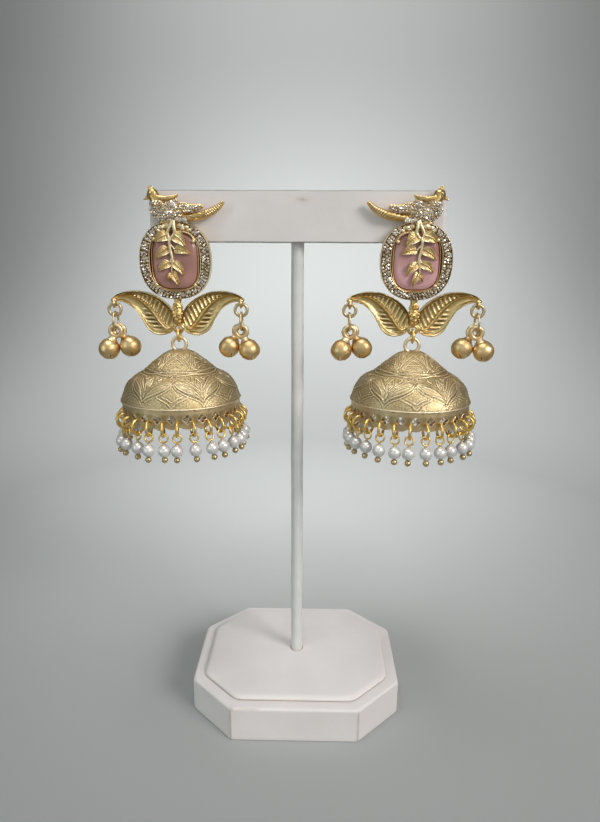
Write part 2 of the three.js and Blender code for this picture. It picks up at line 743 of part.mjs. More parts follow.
function charmBall(side, front) {
  const link = charmLink();
  const lean = THREE.MathUtils.degToRad(front ? frontBallLean : -backBallLean);
  const half = ballDiameter / 2;
  const round = [45, 90, 135].map((angle) => {
    const tilt = (angle * Math.PI) / 180;
    return { r: half * Math.sin(tilt), z: half * Math.cos(tilt) - ballReach };
  });
  const neck = eyeOuter / 2 - eyeWall / 2;
  const body = turned([{ r: 0, z: -neck }, { r: neckDiameter / 2, z: -neck },
    { r: neckDiameter / 2, z: half * 0.95 - ballReach }, ...round, { r: 0, z: -half - ballReach }], beadSides);
  const eye = collar(eyeOuter, eyeOuter - eyeWall * 2, eyeLength).rotateX(Math.PI / 2);
  const whole = join([body, eye]).rotateY(-side * lean);
  const depth = ((eyeLength + gap) / 2) * (front ? -1 : 1);
  return whole.translate(0, depth, link.eyeTop - eyeOuter / 2);
}

// Assembly
const group = new THREE.Group();
const finishes = {
  leatherette: { color: 0xe9e2dc, roughness: 0.6, metalness: 0 },
  rod: { color: 0xd8d6d2, roughness: 0.45, metalness: 0 },
  castGold: { color: 0xc9a961, roughness: 0.38, metalness: 1 },
  wireGold: { color: 0xd6b25a, roughness: 0.25, metalness: 1 },
  matteGold: { color: 0xbfa574, roughness: 0.5, metalness: 1 },
  rose: { color: 0xa9787f, roughness: 0.3, metalness: 0 },
};

function addMesh(parent, name, geometry, finish) {
  const mesh = new THREE.Mesh(geometry, new THREE.MeshStandardMaterial(finishes[finish]));
  mesh.name = name;
  parent.add(mesh);
  return mesh;
}

function addStand() {
  addMesh(group, 'base_plinth', plinth(), 'leatherette');
  addMesh(group, 'base_pad', pad(), 'leatherette');
  addMesh(group, 'pole', pole(), 'rod');
  addMesh(group, 'cross_bar', crossBar(), 'leatherette');
}

function addEarring(name, mirror) {
  const earring = new THREE.Group();
  earring.position.set(mirror ? rightHang : leftHang, studBack, stoneLevel);
  group.add(earring);
  const add = (piece, geometry, finish) => {
    const shape = mirror ? flipFaces(weld(geometry).scale(-1, 1, 1)) : geometry;
    addMesh(earring, `${name}_${piece}`, shape, finish);
  };
  add('stud', stud(), 'castGold');
  add('stone', stone(), 'rose');
  const dropLink = edgeLink(linkReach / 2, linkWire).translate(0, -hangDepth, lugLevel - linkReach / 2);
  add('drop_link', dropLink, 'wireGold');
  add('bell', bell(), 'matteGold');
  add('fringe', fringe(), 'matteGold');
  for (const [place, side] of [['outer', -1], ['inner', 1]]) {
    const middle = tipRingPoint(side);
    const link = charmLink();
    const chain = edgeLink(link.half, charmWire).translate(0, 0, link.top - link.half);
    add(`${place}_ring`, ring(tipRingOuter, tipRingWire).translate(...middle), 'wireGold');
    add(`${place}_link`, chain.translate(...middle), 'wireGold');
    add(`${place}_ball_front`, charmBall(side, true).translate(...middle), 'castGold');
    add(`${place}_ball_back`, charmBall(side, false).translate(...middle), 'castGold');
  }
}

addStand();
addEarring('left', false);
addEarring('right', true);

export default group;
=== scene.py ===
import math

import bmesh
import bpy
import numpy as np
from mathutils import Matrix, Vector


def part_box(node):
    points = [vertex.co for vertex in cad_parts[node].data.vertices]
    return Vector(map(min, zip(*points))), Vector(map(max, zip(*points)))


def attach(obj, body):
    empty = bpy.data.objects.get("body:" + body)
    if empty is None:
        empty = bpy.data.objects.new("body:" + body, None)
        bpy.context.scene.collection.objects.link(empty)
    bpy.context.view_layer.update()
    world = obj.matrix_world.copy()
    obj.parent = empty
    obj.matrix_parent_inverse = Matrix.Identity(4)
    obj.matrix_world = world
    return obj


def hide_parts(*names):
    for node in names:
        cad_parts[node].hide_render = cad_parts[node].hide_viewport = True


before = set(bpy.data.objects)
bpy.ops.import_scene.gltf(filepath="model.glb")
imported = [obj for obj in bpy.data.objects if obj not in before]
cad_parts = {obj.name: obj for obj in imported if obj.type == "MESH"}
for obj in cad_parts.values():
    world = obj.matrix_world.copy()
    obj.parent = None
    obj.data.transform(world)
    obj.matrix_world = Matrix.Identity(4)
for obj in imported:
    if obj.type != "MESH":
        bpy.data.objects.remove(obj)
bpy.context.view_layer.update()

mm = 0.001

# Jewellery shapes are in millimetres round the middle of the left stone, seen from the front (-Y).
# The right earring is the mirror image of the left one, round the middle of its own stone.
rightLow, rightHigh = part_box("right_stone")
stoneLow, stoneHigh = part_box("left_stone")
stoneMiddle = (stoneLow + stoneHigh) / 2 / mm
rightMiddle = (rightLow.x + rightHigh.x) / 2 / mm
seatDepth = 1.8
studBack = stoneHigh.y / mm + seatDepth
bellLow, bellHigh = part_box("left_bell")
hangDepth = studBack - (bellLow.y + bellHigh.y) / 2 / mm  # how far the bell's axis lies before the back


def toWorld(points, side):
    placed = np.array(points, float)
    placed[:, 0] = rightMiddle - placed[:, 0] if side == "right" else stoneMiddle.x + placed[:, 0]
    placed[:, 1] += studBack
    placed[:, 2] += stoneMiddle.z
    return placed * mm


# Material helpers
def addNode(tree, kind, inputs=None, **settings):
    node = tree.nodes.new(kind)
    for key, value in settings.items():
        setattr(node, key, value)
    for key, value in (inputs or {}).items():
        if isinstance(value, bpy.types.NodeSocket):
            tree.links.new(value, node.inputs[key])
        else:
            node.inputs[key].default_value = value
    return node


def newMaterial(name):
    material = bpy.data.materials.new(name)
    material.use_nodes = True
    tree = material.node_tree
    place = addNode(tree, "ShaderNodeTexCoord").outputs["Object"]
    return material, tree, tree.nodes["Principled BSDF"], place


def noiseOf(tree, place, size, detail=2.0):  # size of the blotches in millimetres
    inputs = {"Vector": place, "Scale": 1 / (size * mm), "Detail": detail}
    return addNode(tree, "ShaderNodeTexNoise", inputs).outputs[0]


def spread(tree, value, low, high, toLow=0.0, toHigh=1.0):
    inputs = {"Value": value, "From Min": low, "From Max": high, "To Min": toLow, "To Max": toHigh}
    return addNode(tree, "ShaderNodeMapRange", inputs).outputs[0]


def mixColours(tree, share, first, second, blend="MIX"):
    node = addNode(tree, "ShaderNodeMix", data_type="RGBA", blend_type=blend)
    for index, value in ((0, share), (6, first), (7, second)):
        if isinstance(value, bpy.types.NodeSocket):
            tree.links.new(value, node.inputs[index])
        else:
            node.inputs[index].default_value = value if index == 0 else (*value, 1)
    return node.outputs[2]


def addBump(tree, shader, height, depth, strength=1.0, normal=None):  # depth in millimetres
    bump = addNode(tree, "ShaderNodeBump", {"Height": height, "Distance": depth * mm, "Strength": strength})
    if normal:
        tree.links.new(normal, bump.inputs["Normal"])
    tree.links.new(bump.outputs[0], shader.inputs["Normal"])
    return bump.outputs[0]


# Gold finishes: colours in linear light, sizes in millimetres, wave as a share of the blotch size. Hollow is
# the colour in the recesses, partly patina and partly painted shade
goldLooks = {
    "castGold": {"light": (0.78, 0.55, 0.24), "deep": (0.56, 0.35, 0.11), "hollow": (0.13, 0.065, 0.015),
                 "edge": (1.0, 0.86, 0.58), "roughness": 0.27,
                 "blotch": 2.2, "grain": 0.16, "grainDepth": 0.02, "wave": 0.02},
    "bellGold": {"light": (0.64, 0.505, 0.285), "deep": (0.47, 0.35, 0.165), "hollow": (0.16, 0.10, 0.04),
                 "edge": (0.92, 0.80, 0.57), "roughness": 0.45,
                 "blotch": 4.5, "grain": 0.36, "grainDepth": 0.11, "wave": 0.02},
    # The rim's gold is a darker, browner copy of the bell's, painting the shade on the band under the bell's
    # ledge
    "rimGold": {"light": (0.55, 0.41, 0.21), "deep": (0.37, 0.255, 0.105), "hollow": (0.12, 0.06, 0.025),
                "edge": (0.78, 0.62, 0.37), "roughness": 0.42,
                "blotch": 2.2, "grain": 0.3, "grainDepth": 0.06, "wave": 0.03},
    "wireGold": {"light": (0.93, 0.68, 0.25), "deep": (0.80, 0.53, 0.13), "hollow": (0.36, 0.18, 0.05),
                 "edge": (1.0, 0.84, 0.5), "roughness": 0.34,
                 "blotch": 1.6, "grain": 0.2, "grainDepth": 0.006, "wave": 0.01},
    "ballGold": {"light": (0.88, 0.67, 0.35), "deep": (0.56, 0.335, 0.11), "hollow": (0.17, 0.085, 0.025),
                 "edge": (1.0, 0.86, 0.62), "roughness": 0.4,
                 "blotch": 2.4, "grain": 0.3, "grainDepth": 0.03, "wave": 0.09},
    "pinGold": {"light": (0.74, 0.595, 0.345), "deep": (0.52, 0.39, 0.18), "hollow": (0.15, 0.08, 0.03),
                "edge": (0.95, 0.82, 0.58), "roughness": 0.35,
                "blotch": 1.2, "grain": 0.3, "grainDepth": 0.02, "wave": 0.03},
    # The bezel finish is a darker brown: partly the bezel's own tone, partly painted shade; it also paints
    # the shadow gap over the stone and the shade in the rim's holes
    "bezelAndShadeGold": {"light": (0.56, 0.36, 0.17), "deep": (0.36, 0.20, 0.075), "hollow": (0.11, 0.05, 0.02),
                  "edge": (0.86, 0.66, 0.38), "roughness": 0.36,
                  "blotch": 1.1, "grain": 0.25, "grainDepth": 0.03, "wave": 0.04},
    "leafGold": {"light": (0.82, 0.645, 0.33), "deep": (0.63, 0.45, 0.17), "hollow": (0.12, 0.065, 0.018),
                 "edge": (1.0, 0.88, 0.60), "roughness": 0.34,
                 "blotch": 1.6, "grain": 0.3, "grainDepth": 0.085, "wave": 0.035},
    "sprayGold": {"light": (0.80, 0.615, 0.33), "deep": (0.62, 0.43, 0.175), "hollow": (0.30, 0.18, 0.06),
                  "edge": (1.0, 0.92, 0.70), "roughness": 0.4,
                  "blotch": 1.8, "grain": 0.13, "grainDepth": 0.03, "wave": 0.02},
}


def goldMaterial(name, look):
    material, tree, shader, place = newMaterial(name)
    blotch = noiseOf(tree, place, look["blotch"], 3)
    grain = noiseOf(tree, place, look["grain"], 2)
    hollow = addNode(tree, "ShaderNodeAttribute", attribute_name="hollow").outputs["Fac"]
    plate = mixColours(tree, spread(tree, blotch, 0.3, 0.74), look["light"], look["deep"])
    # Darker towards the hollow colour in the recesses: partly patina, partly painted shade where the recesses
    # lie in shadow
    patinaAndShade = mixColours(tree, spread(tree, hollow, 0.15, 1.1, 0, 0.9), plate, look["hollow"])
    wearAndShade = mixColours(tree, spread(tree, hollow, -0.1, -0.8, 0, 0.7), patinaAndShade, look["edge"])
    tree.links.new(wearAndShade, shader.inputs["Base Color"])
    shader.inputs["Metallic"].default_value = 1
    low, high = look["roughness"] - 0.06, look["roughness"] + 0.12
    tree.links.new(spread(tree, blotch, 0.3, 0.7, low, high), shader.inputs["Roughness"])
    waves = addBump(tree, shader, blotch, look["blotch"] * look["wave"])
    addBump(tree, shader, grain, look["grainDepth"], 1.0, waves)
    return material


gold = {name: goldMaterial(name, look) for name, look in goldLooks.items()}

gemLook = {"bright": (0.80, 0.75, 0.655), "dull": (0.47, 0.39, 0.295), "stone": 0.95, "metallic": 0.6,
           "roughness": 0.12, "ior": 2.2}


def gemMaterial():
    material, tree, shader, place = newMaterial("smallStones")
    cells = addNode(tree, "ShaderNodeTexVoronoi", {"Vector": place, "Scale": 1 / (gemLook["stone"] * mm)})
    tone = addNode(tree, "ShaderNodeSeparateColor", {"Color": cells.outputs["Color"]}).outputs[0]
    colour = mixColours(tree, spread(tree, tone, 0.1, 0.8), gemLook["bright"], gemLook["dull"])
    tree.links.new(colour, shader.inputs["Base Color"])
    shader.inputs["Metallic"].default_value = gemLook["metallic"]
    rough = spread(tree, tone, 0, 1, gemLook["roughness"], gemLook["roughness"] * 2)
    tree.links.new(rough, shader.inputs["Roughness"])
    shader.inputs["IOR"].default_value = gemLook["ior"]
    return material


stoneLook = {"cloud": 9.0, "haze": 0.7, "roughness": 0.3, "glow": 0.25, "glowReach": 1.2, "coat": 0.35,
             "coatRoughness": 0.12}
# The left stone is browner and darker than the right one, painted shade where the leaves shadow it. Foot and
# head move the tone there towards deep: painted shade, darker towards the top under the plate
stoneTonesAndShade = {
    "left": {"light": (0.456, 0.237, 0.199), "deep": (0.332, 0.16, 0.126), "foot": -0.15, "head": 0.3},
    "right": {"light": (0.68, 0.385, 0.39), "deep": (0.37, 0.175, 0.15), "foot": -0.3, "head": 0.5},
}


def roseMaterial(side):
    material, tree, shader, place = newMaterial(f"{side}RoseStone")
    tone = stoneTonesAndShade[side]
    cloud = noiseOf(tree, place, stoneLook["cloud"], 2)
    haze = noiseOf(tree, place, stoneLook["haze"], 2)
    height = addNode(tree, "ShaderNodeSeparateXYZ", {"Vector": place}).outputs["Z"]
    # Painted shade: the tone turns deep towards the stone's top
    rise = spread(tree, height, stoneLow.z, stoneHigh.z, tone["foot"], tone["head"])
    share = addNode(tree, "ShaderNodeMath", {0: cloud, 1: rise}, operation="ADD").outputs[0]
    base = mixColours(tree, spread(tree, share, 0.4, 0.8), tone["light"], tone["deep"])
    flecked = mixColours(tree, spread(tree, haze, 0.56, 0.8, 0, 0.35), base, tone["deep"])
    tree.links.new(flecked, shader.inputs["Base Color"])
    rough = spread(tree, haze, 0.3, 0.7, stoneLook["roughness"], stoneLook["roughness"] + 0.1)
    tree.links.new(rough, shader.inputs["Roughness"])
    shader.inputs["Subsurface Weight"].default_value = stoneLook["glow"]
    shader.inputs["Subsurface Radius"].default_value = (1.0, 0.6, 0.6)
    shader.inputs["Subsurface Scale"].default_value = stoneLook["glowReach"] * mm
    shader.inputs["Coat Weight"].default_value = stoneLook["coat"]
    shader.inputs["Coat Roughness"].default_value = stoneLook["coatRoughness"]
    return material


# Edge is a painted shade colour for the pearl's rim
pearlLook = {"light": (0.78, 0.765, 0.745), "deep": (0.71, 0.685, 0.665), "edge": (0.62, 0.58, 0.60),
             "cloud": 4.0, "roughness": 0.27, "metallic": 0.32, "coat": 0.6, "coatRoughness": 0.2,
             "shine": 0.7}


def pearlMaterial():
    material, tree, shader, place = newMaterial("pearlLustre")
    cloud = noiseOf(tree, place, pearlLook["cloud"], 2)
    # Painted shade: the pearl turns greyer and darker towards its edges as its surface turns away
    sheen = addNode(tree, "ShaderNodeLayerWeight", {"Blend": 0.35}).outputs["Facing"]
    base = mixColours(tree, spread(tree, cloud, 0.35, 0.65), pearlLook["light"], pearlLook["deep"])
    edgeShade = mixColours(tree, spread(tree, sheen, 0.2, 0.9, 0, 0.4), base, pearlLook["edge"])
    tree.links.new(edgeShade, shader.inputs["Base Color"])
    rough = spread(tree, cloud, 0.3, 0.7, pearlLook["roughness"], pearlLook["roughness"] + 0.08)
    tree.links.new(rough, shader.inputs["Roughness"])
    shader.inputs["Metallic"].default_value = pearlLook["metallic"]
    shader.inputs["Coat Weight"].default_value = pearlLook["coat"]
    shader.inputs["Coat Roughness"].default_value = pearlLook["coatRoughness"]
    shader.inputs["Specular IOR Level"].default_value = pearlLook["shine"]
    return material


leatherLook = {"light": (0.78, 0.74, 0.725), "deep": (0.73, 0.69, 0.675), "dirtAndShade": (0.47, 0.38, 0.29),
               "cloud": 22.0, "specks": 1.3, "folds": 6.0, "foldDepth": 0.25, "grain": 0.55,
               "grainDepth": 0.035, "roughness": 0.52, "sheen": 0.15, "baseLitTone": 1.03, "barShadedTone": 0.96}


def leatherMaterial(name, tone):
    material, tree, shader, place = newMaterial(name)
    light, deep = (tuple(tone * part for part in leatherLook[key]) for key in ("light", "deep"))
    cloud = noiseOf(tree, place, leatherLook["cloud"], 3)
    specks = noiseOf(tree, place, leatherLook["specks"], 4)
    grain = addNode(tree, "ShaderNodeTexVoronoi", {"Vector": place, "Scale": 1 / (leatherLook["grain"] * mm)},
                    feature="SMOOTH_F1").outputs[0]
    waves = noiseOf(tree, place, leatherLook["folds"], 2)
    wearAndShade = addNode(tree, "ShaderNodeAttribute", attribute_name="wearAndShade").outputs["Fac"]
    base = mixColours(tree, spread(tree, cloud, 0.35, 0.65), light, deep)
    dusty = mixColours(tree, spread(tree, specks, 0.55, 0.8, 0, 0.06), base, leatherLook["dirtAndShade"])
    # Mixes towards the dark colour where marked: real seams and specks, and painted shadow lines along the
    # stand's joins
    markedAndShaded = mixColours(tree, wearAndShade, dusty, leatherLook["dirtAndShade"])
    tree.links.new(markedAndShaded, shader.inputs["Base Color"])
    rough = spread(tree, cloud, 0.3, 0.7, leatherLook["roughness"], leatherLook["roughness"] + 0.1)
    tree.links.new(rough, shader.inputs["Roughness"])
    shader.inputs["Sheen Weight"].default_value = leatherLook["sheen"]
    folds = addBump(tree, shader, waves, leatherLook["foldDepth"], 0.5)
    addBump(tree, shader, grain, leatherLook["grainDepth"], 0.6, folds)
    return material


poleLook = {"light": (0.74, 0.745, 0.735), "deep": (0.68, 0.685, 0.675), "cloud": 7.0, "peel": 0.8,
            "peelDepth": 0.02, "roughness": 0.38}


def poleMaterial():
    material, tree, shader, place = newMaterial("polePaint")
    cloud = noiseOf(tree, place, poleLook["cloud"], 3)
    peel = noiseOf(tree, place, poleLook["peel"], 2)
    base = mixColours(tree, spread(tree, cloud, 0.35, 0.65), poleLook["light"], poleLook["deep"])
    tree.links.new(base, shader.inputs["Base Color"])
    rough = spread(tree, cloud, 0.3, 0.7, poleLook["roughness"], poleLook["roughness"] + 0.1)
    tree.links.new(rough, shader.inputs["Roughness"])
    addBump(tree, shader, peel, poleLook["peelDepth"], 0.5)
    return material


gems = gemMaterial()
rose = {side: roseMaterial(side) for side in stoneTonesAndShade}
pearl = pearlMaterial()
# Two copies of one leatherette: the base's lighter and the bar's darker, painting the light each of them gets
leather = leatherMaterial("leatherette", leatherLook["baseLitTone"])
shadedBarLeather = leatherMaterial("leatheretteBarShaded", leatherLook["barShadedTone"])
polePaint = poleMaterial()
print("finishes ready")


# Shape helpers: a shape is a list of grids of points, each with a finish number
def unit(vectors):
    return vectors / np.maximum(np.linalg.norm(vectors, axis=-1, keepdims=True), 1e-9)


def curveThrough(points, count, closed=False):  # smooth curve through the points, evenly spaced
    spots = np.array(points, float)
    padded = np.vstack([spots[-1], spots, spots[0], spots[1]]) if closed else \
        np.vstack([2 * spots[0] - spots[1], spots, 2 * spots[-1] - spots[-2]])
    parts = []
    for i in range(1, len(padded) - 2):
        a, b, c, d = padded[i - 1:i + 3]
        t = np.linspace(0, 1, 24, endpoint=False)[:, None]
        parts.append(b + 0.5 * t * (c - a + t * (2 * a - 5 * b + 4 * c - d + t * (3 * (b - c) + d - a))))
    fine = np.vstack([*parts, padded[-2]])
    walked = np.concatenate([[0], np.cumsum(np.linalg.norm(np.diff(fine, axis=0), axis=1))])
    wanted = np.linspace(0, walked[-1], count + 1)[:-1] if closed else np.linspace(0, walked[-1], count)
    return np.stack([np.interp(wanted, walked, fine[:, k]) for k in range(fine.shape[1])], axis=1)


def tubeGrid(path, radii, sides=12, closed=False, flat=None):
    path = np.array(path, float)
    radii = np.broadcast_to(np.array(radii, float), (len(path),))
    along = unit(np.roll(path, -1, 0) - np.roll(path, 1, 0) if closed else np.gradient(path, axis=0))
    normal = np.cross(along[0], (0.0, 1.0, 0.0))
    if np.linalg.norm(normal) < 0.1:
        normal = np.cross(along[0], (1.0, 0.0, 0.0))
    turns = np.linspace(0, 2 * math.pi, sides, endpoint=False)
    loops = []
    for spot, direction, radius in zip(path, along, radii):
        normal = unit(normal - direction * (normal @ direction))
        across = np.cross(direction, normal)
        depth = radius if flat is None else radius * flat
        wide, deep = np.cos(turns) * radius, np.sin(turns) * depth
        loops.append(spot + np.outer(wide, normal) + np.outer(deep, across))
    return np.array(loops)


def ballGrid(centre, radii, rows=16, columns=24):
    up = np.linspace(0, math.pi, rows + 1)[:, None]
    turn = np.linspace(0, 2 * math.pi, columns, endpoint=False)[None, :]
    cap = np.stack([np.sin(up) * np.cos(turn), np.sin(up) * np.sin(turn), np.cos(up) + 0 * turn], axis=-1)
    return np.array(centre, float) + cap * np.array(radii, float)


def ringPath(centre, radius, plane, count=40):  # plane names its two directions, such as "xz"
    turn = np.linspace(0, 2 * math.pi, count, endpoint=False)
    path = np.tile(np.array(centre, float), (count, 1))
    path[:, "xyz".index(plane[0])] += radius * np.sin(turn)
    path[:, "xyz".index(plane[1])] += radius * np.cos(turn)
    return path


def wireRing(centre, outer, wire, plane, sides=14):
    return tubeGrid(ringPath(centre, (outer - wire) / 2, plane), wire / 2, sides, closed=True)


class Shape:
    def __init__(self):
        self.points, self.faces, self.finish, self.count = [], [], [], 0

    def addFaces(self, points, faces, finish=0):
        self.points.append(np.array(points, float).reshape(-1, 3))
        self.faces += [tuple(corner + self.count for corner in face) for face in faces]
        self.finish += [finish] * len(faces)
        self.count += len(self.points[-1])

    def addGrid(self, grid, finish=0, closeRows=False, closeColumns=True, ends=False):
        rows, columns = grid.shape[:2]
        down = np.arange(rows if closeRows else rows - 1)[:, None]
        along = np.arange(columns if closeColumns else columns - 1)[None, :]
        below, beside = (down + 1) % rows, (along + 1) % columns
        upper, lower = down * columns, below * columns
        corners = [upper + along, upper + beside, lower + beside, lower + along]
        faces = np.stack(np.broadcast_arrays(*corners), axis=-1).reshape(-1, 4).tolist()
        if ends:
            faces += [list(range(columns))[::-1], list(range((rows - 1) * columns, rows * columns))]
        self.addFaces(grid, faces, finish)

    def addTube(self, path, radii, finish=0, sides=12, flat=None):
        self.addGrid(tubeGrid(path, radii, sides, flat=flat), finish, ends=True)

    def addRing(self, centre, outer, wire, plane, finish=0, sides=14):
        self.addGrid(wireRing(centre, outer, wire, plane, sides), finish, closeRows=True)

    def addBall(self, centre, radii, finish=0, rows=16, columns=24):
        self.addGrid(ballGrid(centre, radii, rows, columns), finish)

    def allPoints(self):
        return np.vstack(self.points)

    def moved(self, change):
        other = Shape()
        other.addFaces(change(self.allPoints()), self.faces)
        other.finish = list(self.finish)
        return other


def meshOf(name, points, faces, finish=None, materials=(), sharp=48):
    mesh = bpy.data.meshes.new(name)
    mesh.from_pydata(np.array(points).tolist(), [], faces)
    for material in materials:
        mesh.materials.append(material)
    if finish:
        mesh.polygons.foreach_set("material_index", finish)
    work = bmesh.new()
    work.from_mesh(mesh)
    size = max(max(abs(c) for c in v.co) for v in list(work.verts)[:50])
    bmesh.ops.remove_doubles(work, verts=work.verts, dist=2e-6 * max(1.0, size))
    bmesh.ops.dissolve_degenerate(work, edges=work.edges, dist=1e-7)
    bmesh.ops.recalc_face_normals(work, faces=work.faces)
    work.to_mesh(mesh)
    work.free()
    mesh.shade_smooth()
    mesh.set_sharp_from_angle(angle=math.radians(sharp))
    return mesh


# Marks how deep each point lies under its surroundings, as a share of reach
def markHollows(mesh, reach, passes=6):
    count = len(mesh.vertices)
    points, normals = np.empty(count * 3), np.empty(count * 3)
    mesh.vertices.foreach_get("co", points)
    mesh.vertex_normals.foreach_get("vector", normals)
    points, normals = points.reshape(-1, 3), normals.reshape(-1, 3)
    ends = np.empty(len(mesh.edges) * 2, np.int32)
    mesh.edges.foreach_get("vertices", ends)
    first, second = ends[::2], ends[1::2]
    both, other = np.concatenate([first, second]), np.concatenate([second, first])
    links = np.maximum(np.bincount(both, minlength=count), 1)
    eased = points.copy()
    for _ in range(passes):
        around = [np.bincount(both, weights=eased[other, k], minlength=count) / links for k in range(3)]
        eased = (eased + np.stack(around, axis=1)) / 2
    depth = np.einsum("ij,ij->i", eased - points, normals) / (reach * mm)
    mark = mesh.attributes.new("hollow", "FLOAT", "POINT")
    mark.data.foreach_set("value", np.clip(depth, -1.5, 1.5).astype(np.float32))


def addPiece(name, mesh, body, nodes=()):
    piece = bpy.data.objects.new(name, mesh)
    bpy.context.scene.collection.objects.link(piece)
    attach(piece, body)
    if nodes:
        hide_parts(*nodes)
    return piece


# Adds a piece to both earrings; the materials may be given by side
def addPair(name, shape, materials, body, nodes=(), reach=0.05, sharp=48):
    for side in ("left", "right"):
        points = toWorld(shape.allPoints(), side)
        finishes = materials[side] if isinstance(materials, dict) else materials
        mesh = meshOf(f"{side}_{name}", points, shape.faces, shape.finish, finishes, sharp)
        markHollows(mesh, reach)
        rides = body if body == "root" else f"{side}_{body}"
        addPiece(f"{side}_{name}", mesh, rides, [f"{side}_{node}" for node in nodes])


def fuse(shape, voxel, smoothing):  # melts overlapping shapes into one cast body
    mesh = meshOf("melt", shape.allPoints(), shape.faces)
    melt = bpy.data.objects.new("melt", mesh)
    bpy.context.scene.collection.objects.link(melt)
    remesh = melt.modifiers.new("melt", "REMESH")
    remesh.mode = "VOXEL"
    remesh.voxel_size = voxel
    soften = melt.modifiers.new("soften", "SMOOTH")
    soften.factor = 0.5
    soften.iterations = smoothing
    result = bpy.data.meshes.new_from_object(melt.evaluated_get(bpy.context.evaluated_depsgraph_get()))
    points = np.empty(len(result.vertices) * 3)
    result.vertices.foreach_get("co", points)
    cast = Shape()
    cast.addFaces(points, [tuple(face.vertices) for face in result.polygons])
    bpy.data.objects.remove(melt)
    bpy.data.meshes.remove(result)
    return cast


# Geometry Nodes: small shapes set on marked points, and drops hung round a circle
def addInputs(tree, sockets):
    for label, kind in sockets.items():
        tree.interface.new_socket(label, in_out="INPUT", socket_type=kind)
    tree.interface.new_socket("Geometry", in_out="OUTPUT", socket_type="NodeSocketGeometry")
    return addNode(tree, "NodeGroupInput").outputs


def finishTree(tree, instances, finish):
    real = addNode(tree, "GeometryNodeRealizeInstances", {0: instances})
    painted = addNode(tree, "GeometryNodeSetMaterial", {"Geometry": real.outputs[0], "Material": finish})
    addNode(tree, "NodeGroupOutput", {0: painted.outputs[0]})


def turnedBy(tree, rotation, turn):
    inputs = {0: rotation, 1: turn}
    return addNode(tree, "FunctionNodeRotateRotation", inputs, rotation_space="LOCAL").outputs[0]


def settingTree():
    tree = bpy.data.node_groups.new("setOnPoints", "GeometryNodeTree")
    given = addInputs(tree, {"Geometry": "NodeSocketGeometry", "Shape": "NodeSocketObject",
                             "Size": "NodeSocketFloat", "Wobble": "NodeSocketFloat",
                             "Seed": "NodeSocketInt", "Finish": "NodeSocketMaterial"})
    named = "GeometryNodeInputNamedAttribute"
    facing = addNode(tree, named, {"Name": "facing"}, data_type="FLOAT_VECTOR").outputs[0]
    size = addNode(tree, named, {"Name": "size"}, data_type="FLOAT").outputs[0]
    shape = addNode(tree, "GeometryNodeObjectInfo", {"Object": given["Shape"]}).outputs["Geometry"]
    aimed = addNode(tree, "FunctionNodeAlignRotationToVector", {"Vector": facing}, axis="Z").outputs[0]
    low = addNode(tree, "ShaderNodeCombineXYZ", {"Z": -math.pi})
    high = addNode(tree, "ShaderNodeCombineXYZ", {"X": given["Wobble"], "Y": given["Wobble"], "Z": math.pi})
    draw = addNode(tree, "FunctionNodeRandomValue", {"Seed": given["Seed"]}, data_type="FLOAT_VECTOR")
    tree.links.new(low.outputs[0], draw.inputs[0])
    tree.links.new(high.outputs[0], draw.inputs[1])
    turn = addNode(tree, "FunctionNodeEulerToRotation", {0: draw.outputs[0]}).outputs[0]
    turned = turnedBy(tree, aimed, turn)
    scaled = addNode(tree, "ShaderNodeMath", {0: size, 1: given["Size"]}, operation="MULTIPLY").outputs[0]
    placed = addNode(tree, "GeometryNodeInstanceOnPoints",
                     {"Points": given["Geometry"], "Instance": shape, "Rotation": turned, "Scale": scaled})
    finishTree(tree, placed.outputs[0], given["Finish"])
    return tree


def hangingTree():
    tree = bpy.data.node_groups.new("hangRound", "GeometryNodeTree")
    given = addInputs(tree, {"Geometry": "NodeSocketGeometry", "Shape": "NodeSocketObject",
                             "Count": "NodeSocketInt", "Radius": "NodeSocketFloat",
                             "Middle": "NodeSocketVector", "Lean": "NodeSocketFloat",
                             "Sway": "NodeSocketFloat", "Twist": "NodeSocketFloat", "Seed": "NodeSocketInt",
                             "Finish": "NodeSocketMaterial"})
    circle = addNode(tree, "GeometryNodeMeshCircle", {"Vertices": given["Count"], "Radius": given["Radius"]})
    shape = addNode(tree, "GeometryNodeObjectInfo", {"Object": given["Shape"]}).outputs["Geometry"]
    index = addNode(tree, "GeometryNodeInputIndex").outputs[0]
    share = addNode(tree, "ShaderNodeMath", {0: index, 1: given["Count"]}, operation="DIVIDE").outputs[0]
    turn = addNode(tree, "ShaderNodeMath", {0: share, 1: 2 * math.pi}, operation="MULTIPLY").outputs[0]
    sway = addNode(tree, "FunctionNodeRandomValue", {"Seed": given["Seed"]}, data_type="FLOAT_VECTOR")
    reach = {"X": given["Sway"], "Y": given["Sway"], "Z": given["Twist"]}
    high = addNode(tree, "ShaderNodeCombineXYZ", reach)
    low = addNode(tree, "ShaderNodeVectorMath", {0: high.outputs[0], "Scale": -1.0}, operation="SCALE")
    tree.links.new(low.outputs[0], sway.inputs[0])
    tree.links.new(high.outputs[0], sway.inputs[1])
    loose = addNode(tree, "FunctionNodeEulerToRotation", {0: sway.outputs[0]}).outputs[0]
    leaning = addNode(tree, "ShaderNodeCombineXYZ", {"Y": given["Lean"], "Z": turn}).outputs[0]
    outward = addNode(tree, "FunctionNodeEulerToRotation", {0: leaning}).outputs[0]
    turned = turnedBy(tree, outward, loose)
    hung = addNode(tree, "GeometryNodeInstanceOnPoints",
                   {"Points": circle.outputs[0], "Instance": shape, "Rotation": turned})
    moved = addNode(tree, "GeometryNodeTransform",
                    {"Geometry": hung.outputs[0], "Translation": given["Middle"]})
    finishTree(tree, moved.outputs[0], given["Finish"])
    return tree


settingNodes = settingTree()
hangingNodes = hangingTree()


